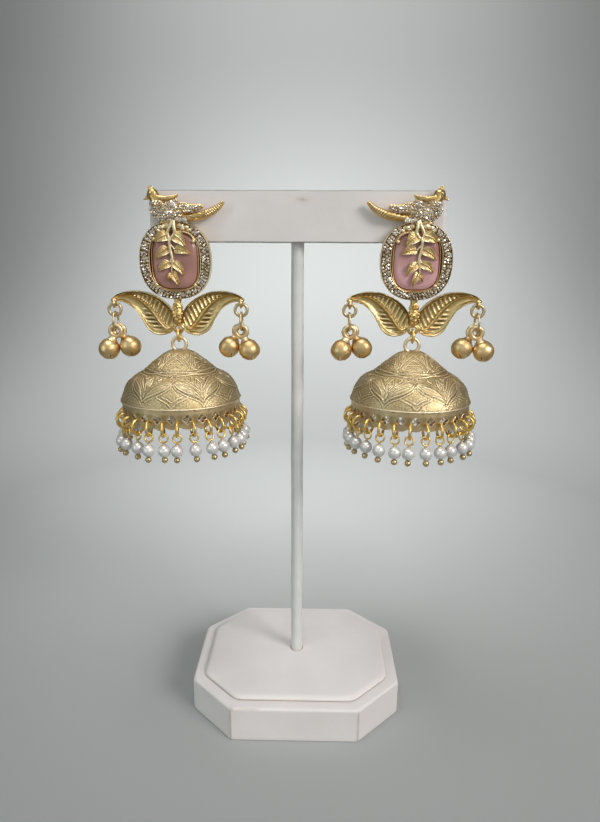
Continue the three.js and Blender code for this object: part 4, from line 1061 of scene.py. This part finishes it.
def bellRelief(radii, heights):
    rows, sector = bellLook["rows"], bellLook["columns"] // 6
    degrees = np.linspace(-30, 30, sector, endpoint=False)

    def flatten(spots):  # millimetres along the turn and up the slope
        spots = np.array(spots, float)
        across = np.radians(spots[:, 0]) * np.interp(spots[:, 1], heights[::-1], radii[::-1])
        return np.stack([across, np.interp(spots[:, 1], heights[::-1], slope[::-1])], axis=1)

    slope = np.concatenate([[0], np.cumsum(np.hypot(np.diff(radii), np.diff(heights)))])
    grid = np.array([(d, h) for h in heights for d in degrees])
    points = flatten(grid)

    def ridges(lines, width, height, groove):
        near = np.full(len(points), 1e9)
        for line in lines:
            for mirror in (1, -1):
                for turn in (-60, 0, 60):
                    smooth = curveThrough(line, 20) if len(line) > 2 else np.array(line, float)
                    moved = smooth * (mirror, 1) + (turn, 0)
                    near = np.minimum(near, lineDistance(points, flatten(moved)))
        beside = np.exp(-((near - width * 2.1) / (width * 0.8)) ** 2)
        return height * np.exp(-(near / width) ** 2) - groove * beside

    line, height, groove = bellLook["line"], bellLook["lineHeight"], bellLook["grooveDepth"]
    relief = ridges(bellLines, line, height, groove)
    relief += ridges(bellBorder, line * 1.5, height * 1.2, groove)
    smooth = np.zeros(len(points))
    for mirror in (1, -1):
        for turn in (-60, 0, 60):
            moved = np.array(bellPillow, float) * (mirror, 1) + (turn, 0)
            outline = flatten(curveThrough(moved, 60, closed=True))
            edge = lineDistance(points, np.vstack([outline, outline[:1]]))
            swell = insideOutline(points, outline) * np.sqrt(np.clip(edge / 1.6, 0, 1))
            relief += swell * bellLook["pillow"]
            smooth = np.maximum(smooth, swell)
    return (np.tile(part.reshape(rows, sector), (1, 6)) for part in (relief, smooth))


def buildBell():
    profile = curveThrough(bellProfile, bellLook["rows"])
    radii, heights = profile[:, 0], profile[:, 1]
    relief, smooth = bellRelief(radii, heights)
    draw = np.random.default_rng(bellLook["seed"])
    # punched ground between the smoother petals
    relief += draw.normal(0, bellLook["stipple"], relief.shape) * (1 - 0.75 * smooth)
    relief *= np.clip((radii - 2.5) / 2, 0, 1)[:, None] * np.clip((heights - 122.9) * 3, 0, 1)[:, None]
    turn = np.radians(np.linspace(-30, 330, bellLook["columns"], endpoint=False) + bellLook["phase"])[None, :]
    slopeOut = unit(np.stack([-np.gradient(heights), np.gradient(radii)], axis=1))
    outR = radii[:, None] + relief * slopeOut[:, :1]
    outZ = heights[:, None] + relief * slopeOut[:, 1:]
    lip = [(20.95, 122.95), (21.12, 122.8), (21.15, 122.6), (21.0, 122.46), (20.6, 122.42), (19.9, 122.44)]
    inside = [(19.75, 122.9), (19.1, 124.8), (18.0, 127.0), (16.4, 128.9), (14.6, 130.2), (12.2, 131.4),
              (10.2, 132.9), (7.6, 135.0), (5.2, 136.9), (2.6, 138.2), (0.01, 138.6)]
    rest = np.array(lip + inside)
    ones = np.ones_like(turn)
    r = np.vstack([outR, rest[:, :1] * ones])
    z = np.vstack([outZ, rest[:, 1:] * ones])
    grid = np.stack([r * np.sin(turn), -hangDepth - r * np.cos(turn), z - stoneMiddle.z], axis=-1)
    shape = Shape()
    shape.addGrid(grid)
    ringTop = bellHigh.z / mm - stoneMiddle.z
    shape.addRing((0, -hangDepth, ringTop - 3.05), 6.1, 1.2, "xz", finish=1)
    for x in (-0.9, 0.9):
        shape.addBall((x, -hangDepth, ringTop - 5.6), (0.8, 0.8, 0.5), finish=1, rows=8, columns=12)
    addPair("bell_dome", shape, [gold["bellGold"], gold["ballGold"]], "bell", ["bell"], 0.075)


def buildLink():
    low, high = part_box("left_drop_link")
    wire = (high.x - low.x) / mm
    outer = (high.z - low.z) / mm
    shape = Shape()
    shape.addRing((0, -hangDepth, (low.z + high.z) / 2 / mm - stoneMiddle.z), outer, wire, "yz")
    addPair("jump_ring", shape, [gold["wireGold"]], "link", ["drop_link"], 0.3)


# Pierced rim with its drops
rimLook = {"radius": 20.6, "wall": 1.3, "top": 122.4, "height": 6.4, "scallop": 0.9, "count": 26,
           "holeLevel": 119.4, "hole": 1.25, "lobes": 0.26, "rays": 40, "cross": 0.8, "crossWire": 0.19}


def rimCell():  # one stretch of the rim round its hole, flat, with the lift of each ring of points
    half = math.pi * rimLook["radius"] / rimLook["count"]
    turn = np.linspace(0, 2 * math.pi, rimLook["rays"], endpoint=False)
    up = rimLook["top"] - rimLook["holeLevel"]
    down = rimLook["holeLevel"] - (rimLook["top"] - rimLook["height"])
    c, s = np.cos(turn), np.sin(turn)
    with np.errstate(divide="ignore"):
        toSide = np.where(np.abs(c) > 1e-6, half / np.abs(c), 1e9)
        toFoot = np.where(s < -1e-6, (down - rimLook["scallop"]) / np.abs(s), 1e9)
        toEnd = np.where(s > 1e-6, up / np.abs(s), toFoot)
    reach = np.minimum(toSide, toEnd)
    edge = np.stack([reach * c, reach * s], axis=1)
    low = (s < 0) & (toEnd < toSide)
    edge[low, 1] -= rimLook["scallop"] * np.cos(edge[low, 0] / half * math.pi / 2) ** 0.7
    hole = rimLook["hole"] + rimLook["lobes"] * np.cos(4 * turn)
    ring = np.stack([hole * c, hole * s], axis=1)
    shares = np.array([0, 0.12, 0.3, 0.6, 1.0])
    lift = np.array([0.0, 0.07, 0.02, 0.0, 0.0])
    grid = ring[None] + (edge - ring)[None] * shares[:, None, None]
    return grid, np.broadcast_to(lift[:, None], grid.shape[:2])


def buildRim():
    grid, lift = rimCell()
    shape = Shape()
    rings, rays = grid.shape[:2]
    for number in range(rimLook["count"]):
        middle = 2 * math.pi * number / rimLook["count"] + math.radians(bellLook["phase"])
        layers = []
        for wall, side in ((0.0, 1), (rimLook["wall"], 0)):
            radius = rimLook["radius"] - wall + lift * side
            turn = middle + grid[..., 0] / rimLook["radius"]
            z = rimLook["holeLevel"] + grid[..., 1] - stoneMiddle.z
            layers.append(np.stack([radius * np.sin(turn), -hangDepth - radius * np.cos(turn), z], axis=-1))
        outer, inner = layers
        shape.addGrid(outer)
        shape.addGrid(inner)
        # The walls of each hole take the dark bezel finish, painted shade inside the holes
        shape.addGrid(np.array([outer[0], inner[0]]), finish=1)
        # Two crossing bars in each hole, also in the dark finish, draw the diagonals seen there and paint the
        # shade seen through the hole
        for slant in (-1, 1):
            spots = np.array([(-slant, -1), (slant, 1)]) * rimLook["cross"]
            turn = middle + spots[:, 0] / rimLook["radius"]
            inside = rimLook["radius"] - rimLook["wall"] * 0.4
            z = rimLook["holeLevel"] + spots[:, 1] - stoneMiddle.z
            bar = np.stack([inside * np.sin(turn), -hangDepth - inside * np.cos(turn), z], axis=-1)
            shape.addTube(bar, rimLook["crossWire"], finish=1, sides=6)
        free = np.abs(grid[-1, :, 0]) < math.pi * rimLook["radius"] / rimLook["count"] - 1e-4
        faces = [(i, (i + 1) % rays, rays + (i + 1) % rays, rays + i) for i in range(rays)
                 if free[i] or free[(i + 1) % rays]]
        shape.addFaces(np.vstack([outer[-1], inner[-1]]), faces)
    addPair("pierced_rim", shape, [gold["rimGold"], gold["bezelAndShadeGold"]], "bell", ["fringe"], 0.1)


dropLook = {"ringOuter": 5.75, "ringWire": 0.96, "eyeOuter": 3.45, "eyeWire": 0.62, "pearl": 4.25,
            "pin": 0.55, "endBall": 2.1, "neck": 0.4, "hang": 20.15, "hangLevel": 118.45, "lean": 11.0,
            "sway": 5.5, "twist": 16.0, "seed": {"left": 5, "right": 9}}


def buildDrops():
    ringHalf = dropLook["ringOuter"] / 2
    wire = dropLook["ringWire"]
    ringMiddle = -(ringHalf - wire / 2)
    eyeTop = ringMiddle - ringHalf + wire + dropLook["eyeWire"]
    eyeMiddle = eyeTop - dropLook["eyeOuter"] / 2
    pearlMiddle = eyeMiddle - dropLook["eyeOuter"] / 2 - dropLook["neck"] - dropLook["pearl"] / 2
    metal = Shape()
    ring = ringPath((0, 0, ringMiddle), ringHalf - wire / 2, "xz", 28)
    eye = ringPath((0, 0, eyeMiddle), (dropLook["eyeOuter"] - dropLook["eyeWire"]) / 2, "yz", 18)
    for path, thickness in ((ring, wire), (eye, dropLook["eyeWire"])):
        metal.addGrid(tubeGrid(path, thickness / 2, 8, closed=True), closeRows=True)
    bottom = pearlMiddle - dropLook["pearl"] / 2 - dropLook["endBall"] * 0.42
    pin = Shape()
    top = eyeMiddle - dropLook["eyeOuter"] / 2 + 0.1
    pin.addTube([(0, 0, top), (0, 0, bottom)], dropLook["pin"] / 2, sides=8)
    pin.addBall((0, 0, bottom), (dropLook["endBall"] / 2,) * 3, rows=10, columns=14)
    pin.addBall((0, 0, pearlMiddle + dropLook["pearl"] / 2 - 0.02), (0.62, 0.62, 0.3), rows=6, columns=12)
    white = Shape()
    white.addBall((0, 0, pearlMiddle), (dropLook["pearl"] / 2,) * 3, rows=18, columns=28)
    for part, shape, finish, slotName in (("drop_wires", metal, gold["wireGold"], "wire_gold"),
                                          ("drop_pins", pin, gold["pinGold"], "wire_gold"),
                                          ("pearls", white, pearl, "pearl")):
        thing = pattern(part, shape, sharp=60)
        for side in ("left", "right"):
            middle = toWorld([(0, -hangDepth, dropLook["hangLevel"] - stoneMiddle.z)], side)[0]
            values = {"Shape": thing, "Count": rimLook["count"], "Radius": dropLook["hang"] * mm,
                      "Middle": tuple(middle), "Lean": -math.radians(dropLook["lean"]),
                      "Sway": math.radians(dropLook["sway"]),
                      "Twist": math.radians(dropLook["twist"]), "Seed": dropLook["seed"][side],
                      "Finish": finish}
            grown = grownMesh(f"{side}_{part}", hangingNodes, values)
            addPiece(f"{side}_{part}", grown, f"{side}_bell")


buildBell()
buildLink()
buildRim()
buildDrops()
print("bells ready")


# Ball charms at the leaf tips
charmLook = {"ball": 7.5, "eyeOuter": 5.4, "eyeWire": 1.6, "neck": (1.05, 1.4, 2.0), "slit": 0.16,
              "dents": 0.2, "dentCount": 11, "spread": 0.7, "ringOuter": 5.3, "ringWire": 1.1,
              "linkWire": 0.8, "seed": 20}


def dentedBall(seed):
    grid = ballGrid((0, 0, 0), (1, 1, 1), 48, 64)
    direction = unit(grid)
    draw = np.random.default_rng(seed)
    swell = np.zeros(grid.shape[:2])
    for _ in range(charmLook["dentCount"]):
        spot = unit(draw.normal(size=3))
        dent = np.exp(-((1 - direction @ spot) / draw.uniform(0.03, 0.12)))
        swell -= charmLook["dents"] * dent * draw.uniform(0.4, 1)
    for turn in (0.4, 0.4 + math.pi / 2):
        across = np.abs(direction[..., 0] * math.cos(turn) + direction[..., 1] * math.sin(turn))
        swell -= charmLook["slit"] * 2.2 * np.exp(-(across / 0.035) ** 2) * (direction[..., 2] < -0.45)
    return grid * (charmLook["ball"] / 2 + swell)[..., None]


def buildCharms():
    for place, side in (("outer", -1), ("inner", 1)):
        for layer, number in (("front", 1), ("back", 2)):
            node = f"{place}_ball_{layer}"
            low, high = (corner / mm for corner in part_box("left_" + node))
            outward = side if layer == "front" else -side
            ballX = (low.x if outward < 0 else high.x) - outward * charmLook["ball"] / 2 - stoneMiddle.x
            ballZ = low.z + charmLook["ball"] / 2 - stoneMiddle.z
            eyeX = (high.x if outward < 0 else low.x) + outward * charmLook["eyeOuter"] / 2 - stoneMiddle.x
            eyeX += outward * charmLook["spread"] * (layer == "back")
            eyeZ = high.z - charmLook["eyeOuter"] / 2 - stoneMiddle.z
            y = (low.y + high.y) / 2 - studBack
            shape = Shape()
            shape.addGrid(dentedBall(charmLook["seed"] + number + side) + np.array([ballX, y, ballZ]))
            shape.addRing((eyeX, y, eyeZ), charmLook["eyeOuter"], charmLook["eyeWire"], "xz", sides=16)
            toBall = np.array([ballX - eyeX, 0, ballZ - eyeZ])
            along = toBall / np.linalg.norm(toBall)
            eye, ball = np.array([eyeX, y, eyeZ]), np.array([ballX, y, ballZ])
            neck = [eye + along * 2.2, eye + along * 3.0, ball - along * 3.45]
            shape.addTube(neck, charmLook["neck"], sides=18)
            addPair(f"charm_{place}_{layer}", shape, [gold["ballGold"]], "root", [node], 0.22)
        rings = Shape()
        for part, outer, wire, plane in (("ring", charmLook["ringOuter"], charmLook["ringWire"], "xz"),
                                         ("link", None, charmLook["linkWire"], "yz")):
            low, high = (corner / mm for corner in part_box(f"left_{place}_{part}"))
            middle = (low + high) / 2
            centre = (middle.x - stoneMiddle.x, middle.y - studBack, middle.z - stoneMiddle.z)
            rings.addRing(centre, outer or high.z - low.z, wire, plane)
        addPair(f"charm_{place}_rings", rings, [gold["pinGold"]], "root",
                [f"{place}_ring", f"{place}_link"], 0.3)


buildCharms()
print("charms ready")


# Stand, in millimetres in the frame
standLook = {"corner": 16.25, "bevel": 0.9, "padInset": 4.2, "padRound": 2.2, "crown": 0.55, "barRound": 1.3}
plinthLow, plinthHigh = (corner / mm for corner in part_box("base_plinth"))
barLow, barHigh = (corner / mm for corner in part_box("cross_bar"))
poleLow, poleHigh = (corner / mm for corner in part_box("pole"))
padLow, padHigh = (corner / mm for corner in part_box("base_pad"))


def octagonLoop(inset, rounding, perSide=14):  # octagon with rounded corners, drawn inwards by inset
    x, y = plinthHigh.x - inset, plinthHigh.y - inset
    corner = standLook["corner"] - inset * (2 - math.sqrt(2))
    rounding = min(rounding, corner * 0.6)
    outline = np.array([(x - corner, -y), (x, -y + corner), (x, y - corner), (x - corner, y),
                        (-x + corner, y), (-x, y - corner), (-x, -y + corner), (-x + corner, -y)])
    loop = []
    for i, spot in enumerate(outline):
        before, after = unit(outline[i - 1] - spot), unit(outline[(i + 1) % 8] - spot)
        start, end = spot + before * rounding, spot + after * rounding
        for t in np.linspace(0, 1, 8):
            loop.append((1 - t) ** 2 * start + 2 * t * (1 - t) * spot + t * t * end)
        following = outline[(i + 1) % 8] + unit(spot - outline[(i + 1) % 8]) * rounding
        for t in np.linspace(0, 1, perSide)[1:-1]:
            loop.append(end * (1 - t) + following * t)
    return np.array(loop)


def level(loop, z):
    return np.column_stack([loop, np.full(len(loop), z)])


def addStandPiece(name, shape, material, nodes, sharp=40):
    mesh = meshOf(name, shape.allPoints() * mm, shape.faces, shape.finish, [material], sharp)
    return addPiece(name, mesh, "root", nodes), mesh


def markWearAndShade(mesh, marks, foot=-1.0):  # dark marks, each a place in millimetres, a reach and a strength, plus a dark band below foot: real seams and specks, and painted shadow lines
    points = np.empty(len(mesh.vertices) * 3)
    mesh.vertices.foreach_get("co", points)
    points = points.reshape(-1, 3) / mm
    wearAndShade = 0.8 * (points[:, 2] < foot)
    for spot, reach, strength in marks:
        wearAndShade = np.maximum(wearAndShade, strength * np.exp(-(np.linalg.norm((points - spot) / reach, axis=1)) ** 2))
    mesh.attributes.new("wearAndShade", "FLOAT", "POINT").data.foreach_set("value", wearAndShade.astype(np.float32))


def buildPlinth():
    top, bevel = plinthHigh.z, standLook["bevel"]
    rows = [(0.6, 0.0, 1.2), (0.15, 0.2, 1.0), (0.0, 0.7, 0.8)]
    rows += [(0.0, z, 0.8) for z in np.linspace(1.5, top - bevel - 0.4, 16)]
    rows += [(bevel * (1 - math.cos(a)), top - bevel + bevel * math.sin(a), 0.8 + bevel)
             for a in np.linspace(0.15, math.pi / 2, 6)]
    rows += [(inset, top, 1.7 + inset * 0.2) for inset in (2.4, 3.5, 4.0, 4.6, 5.5, 8.0)]
    loops = [level(octagonLoop(inset, rounding), z) for inset, z, rounding in rows]
    middle = level(octagonLoop(8.0, 3.3) * 0.001, top)
    under = level(octagonLoop(0.6, 1.2) * 0.001, 0.0)
    shape = Shape()
    shape.addGrid(np.array([under, *loops, middle]))
    mesh = addStandPiece("plinth_cover", shape, leather, ["base_plinth"])[1]
    x, y = plinthHigh.x - standLook["corner"], plinthLow.y
    marks = [(np.array([corner, y, z]), np.array([0.4, 0.4, 0.9]), 0.95)
             for corner in (-x, x) for z in np.arange(0.5, 13, 0.8)]
    # The spot at the left corner's top and the short marks along the top front edge paint the shadow line
    # under the pad's front-left edge
    marks += [(np.array([-x, y, top - 0.4]), np.array([1.3, 1.0, 0.9]), 0.8)]
    marks += [(np.array([-x + shift, y + 0.1, top - 0.25]), np.array([1.0, 0.6, 0.25]), 0.5)
              for shift in (3.2, 4.6, 6.8, 8.4)]
    markWearAndShade(mesh, marks)


def buildPad():
    floor, top, rounding = plinthHigh.z, padHigh.z, standLook["padRound"]
    inset = standLook["padInset"]
    rows = [(inset + 0.5, floor + 0.02, 2.2), (inset + 0.1, floor + 0.35, 2.4)]
    for angle in np.linspace(0.1, math.pi / 2, 9):
        out = 1 - math.cos(angle)
        z = floor + 0.35 + (top - floor - 0.85) * math.sin(angle)
        rows.append((inset + rounding * out, z, 2.6 + 1.5 * out))
    for share in np.linspace(0.08, 0.94, 16):
        reach = inset + rounding + share * (plinthHigh.y - inset - rounding)
        rows.append((reach, top - 0.5 + standLook["crown"] * (1 - (1 - share) ** 2), 4.1 + 6 * share))
    loops = []
    for depth, z, roundness in rows:
        if depth < plinthHigh.y * 0.62:
            loops.append(level(octagonLoop(depth, min(roundness, 6)), z))
            last = (depth, octagonLoop(depth, min(roundness, 6)), z)
        else:
            shrink = 1 - (depth - last[0]) / (plinthHigh.y - last[0])
            loops.append(level(last[1] * shrink, z))
    loops.append(level(last[1] * 0.001, top + 0.04))
    under = level(octagonLoop(inset + 0.5, 2.2) * 0.001, floor + 0.02)
    shape = Shape()
    shape.addGrid(np.array([under, *loops]))
    piece, mesh = addStandPiece("base_cushion", shape, leather, ["base_pad"])
    # The dark band below floor + 0.5 paints the shadow line along the pad's foot; the spot at the front right
    # is a dark mark
    markWearAndShade(mesh, [(np.array([22.4, padLow.y, padHigh.z - 0.8]), np.array([0.7, 0.7, 0.5]), 0.45)],
             floor + 0.5)


def buildPole():
    radius = (poleHigh.y - poleLow.y) / 2
    shape = Shape()
    levels = np.linspace(padHigh.z - 1.6, barLow.z + 1.0, 60)
    wander = 0.04 * np.sin(levels * 0.11)
    shape.addTube(np.column_stack([wander, 0 * levels, levels]), radius, sides=48)
    shape.addTube([(0, 0, poleLow.z), (0, 0, padHigh.z - 1.5)], radius * 0.98, sides=32)
    shape.addTube([(0, 0, barLow.z + 0.9), (0, 0, poleHigh.z)], radius * 0.98, sides=32)
    addStandPiece("pole_rod", shape, polePaint, ["pole"])
    # A ring round the pole's foot, darkened all over
    foot = Shape()
    foot.addRing((0, 0, padHigh.z - 0.02), radius * 2 + 1.0, 0.5, "xy")
    footRing = addStandPiece("pole_foot_seam", foot, leather, [])[1]
    markWearAndShade(footRing, [], poleHigh.z)


def buildBar():
    halfX, halfY, halfZ = (barHigh - barLow) / 2
    middleZ = (barHigh.z + barLow.z) / 2
    r = standLook["barRound"]

    def section(x, inset):
        y, z = halfY - inset - r, halfZ - inset - r
        loop = []
        for cy, cz, start in ((y, z, 0), (-y, z, 90), (-y, -z, 180), (y, -z, 270)):
            for angle in np.linspace(start, start + 90, 7):
                turn = math.radians(angle)
                loop.append((x, cy + r * math.cos(turn), middleZ + cz + r * math.sin(turn)))
        return curveThrough(np.array(loop), 120, closed=True)

    ends = [(halfX, 1.25), (halfX - 0.02, 0.9), (halfX - 0.25, 0.45), (halfX - 0.7, 0.12), (halfX - 1.3, 0.0)]
    loops = [section(-x, inset) for x, inset in ends]
    loops += [section(x, 0.03 * math.sin(x * 0.21) + 0.02) for x in np.linspace(-halfX + 3, halfX - 3, 30)]
    loops += [section(x, inset) for x, inset in reversed(ends)]
    shape = Shape()
    shape.addGrid(np.array(loops), ends=True)
    speck = np.array((2.2, barLow.y, 190.0))
    shape.addBall(speck, (0.26, 0.08, 0.2), rows=6, columns=12)
    mesh = addStandPiece("bar_cover", shape, shadedBarLeather, ["cross_bar"])[1]
    markWearAndShade(mesh, [(speck, 0.8, 1.0)])


buildPlinth()
buildPad()
buildPole()
buildBar()
print("stand ready")


# Floor, backdrop, light and camera, in metres
# The floor colour turns to the lighter near colour in a pool round the middle, behind the base: a painted
# pool of light
roomLook = {"floor": (0.30, 0.309, 0.305), "near": (0.44, 0.452, 0.446), "paintedPoolMiddle": (0.0, 0.11, 0.0),
            "width": 3.0, "front": -1.2, "back": 0.75, "sweep": 0.45, "height": 2.0}


def buildRoom():
    material, tree, shader, place = newMaterial("backdrop")
    ends = {0: place, 1: roomLook["paintedPoolMiddle"]}
    away = addNode(tree, "ShaderNodeVectorMath", ends, operation="DISTANCE").outputs["Value"]
    # Painted pool of light: lighter near the middle, the floor colour farther out
    tone = mixColours(tree, spread(tree, away, 0.06, 0.24), roomLook["near"], roomLook["floor"])
    tree.links.new(tone, shader.inputs["Base Color"])
    shader.inputs["Roughness"].default_value = 0.9
    shader.inputs["Specular IOR Level"].default_value = 0.1
    sweep, back = roomLook["sweep"], roomLook["back"]
    line = [(roomLook["front"], 0)]
    line += [(back - sweep + sweep * math.sin(a), sweep * (1 - math.cos(a)))
             for a in np.linspace(0, math.pi / 2, 24)]
    line += [(back, roomLook["height"])]
    half = roomLook["width"] / 2
    points = [(x, y, z) for y, z in line for x in (-half, half)]
    faces = [(2 * i, 2 * i + 1, 2 * i + 3, 2 * i + 2) for i in range(len(line) - 1)]
    mesh = bpy.data.meshes.new("room")
    mesh.from_pydata(points, [], faces)
    mesh.materials.append(material)
    mesh.shade_smooth()
    room = bpy.data.objects.new("room", mesh)
    bpy.context.scene.collection.objects.link(room)


lightAim = (0, 0, 0.12)
worldLook = {"colour": (0.52, 0.535, 0.54, 1), "strength": 0.4}
lights = {
    "key": {"at": (0.72, -0.62, 0.62), "size": (0.42, 0.42), "power": 6.4, "colour": (1.0, 0.97, 0.945)},
    "top": {"at": (-0.1, -0.1, 0.9), "size": (0.6, 0.45), "power": 2.4, "colour": (0.97, 0.99, 1.0)},
    "fill": {"at": (-0.8, -0.65, 0.35), "size": (0.35, 0.8), "power": 1.7, "colour": (0.84, 1.0, 0.94)},
    "front": {"at": (0.1, -1.3, 0.5), "size": (1.5, 1.1), "power": 2.0, "colour": (1.0, 0.985, 0.97)},
}
pools = {
    "far": {"at": (0.0, 0.25, 1.2), "aim": (0.0, 0.5, 0.0), "power": 72.0, "angle": 46.0, "softness": 0.12},
    "high": {"at": (0.0, -0.1, 1.3), "aim": (0.0, 0.75, 0.42), "power": 66.0, "angle": 44.0,
             "softness": 0.12},
    "near": {"at": (0.0, -0.25, 1.1), "aim": (0.0, 0.02, 0.0), "power": 12.0, "angle": 19.0, "softness": 0.2},
}


def addLamp(name, kind, look):
    lamp = bpy.data.lights.new(name, kind)
    lamp.energy = look["power"]
    thing = bpy.data.objects.new(name, lamp)
    thing.location = look["at"]
    aim = Vector(look.get("aim", lightAim)) - Vector(look["at"])
    thing.rotation_mode = "QUATERNION"
    thing.rotation_quaternion = aim.to_track_quat("-Z", "Y")
    bpy.context.scene.collection.objects.link(thing)
    return lamp


def buildLights():
    for name, look in lights.items():
        lamp = addLamp(name, "AREA", look)
        lamp.shape = "RECTANGLE"
        lamp.size, lamp.size_y = look["size"]
        lamp.color = look["colour"]
    for name, look in pools.items():  # spots on the backdrop behind the pair and on the floor by the base
        lamp = addLamp(name, "SPOT", look)
        lamp.spot_size = math.radians(look["angle"])
        lamp.spot_blend = 1.0
        lamp.shadow_soft_size = look["softness"]
    world = bpy.data.worlds.new("studio")
    world.use_nodes = True
    sky = world.node_tree.nodes["Background"]
    sky.inputs["Color"].default_value = worldLook["colour"]
    sky.inputs["Strength"].default_value = worldLook["strength"]
    bpy.context.scene.world = world
    bpy.context.scene.view_settings.view_transform = "Standard"


# Place in millimetres, angles in degrees, lens in millimetres
cameraLook = {"at": (5.58, -223.14, 170.83), "yaw": 1.17, "pitch": 13.85, "roll": 0.23, "lens": 27.055,
              "sensor": 36.0}


def buildCamera():
    data = bpy.data.cameras.new("camera")
    data.sensor_width = cameraLook["sensor"]
    data.lens = cameraLook["lens"]
    data.clip_start = 0.01
    camera = bpy.data.objects.new("camera", data)
    turn = Matrix.Rotation(math.radians(cameraLook["yaw"]), 3, "Z")
    tilt = Matrix.Rotation(math.radians(90 - cameraLook["pitch"]), 3, "X")
    roll = Matrix.Rotation(math.radians(cameraLook["roll"]), 3, "Z")
    camera.rotation_mode = "QUATERNION"
    camera.rotation_quaternion = (turn @ tilt @ roll).to_quaternion()
    camera.location = Vector(cameraLook["at"]) * mm
    bpy.context.scene.collection.objects.link(camera)
    bpy.context.scene.camera = camera


buildRoom()
buildLights()
buildCamera()
print("room ready")
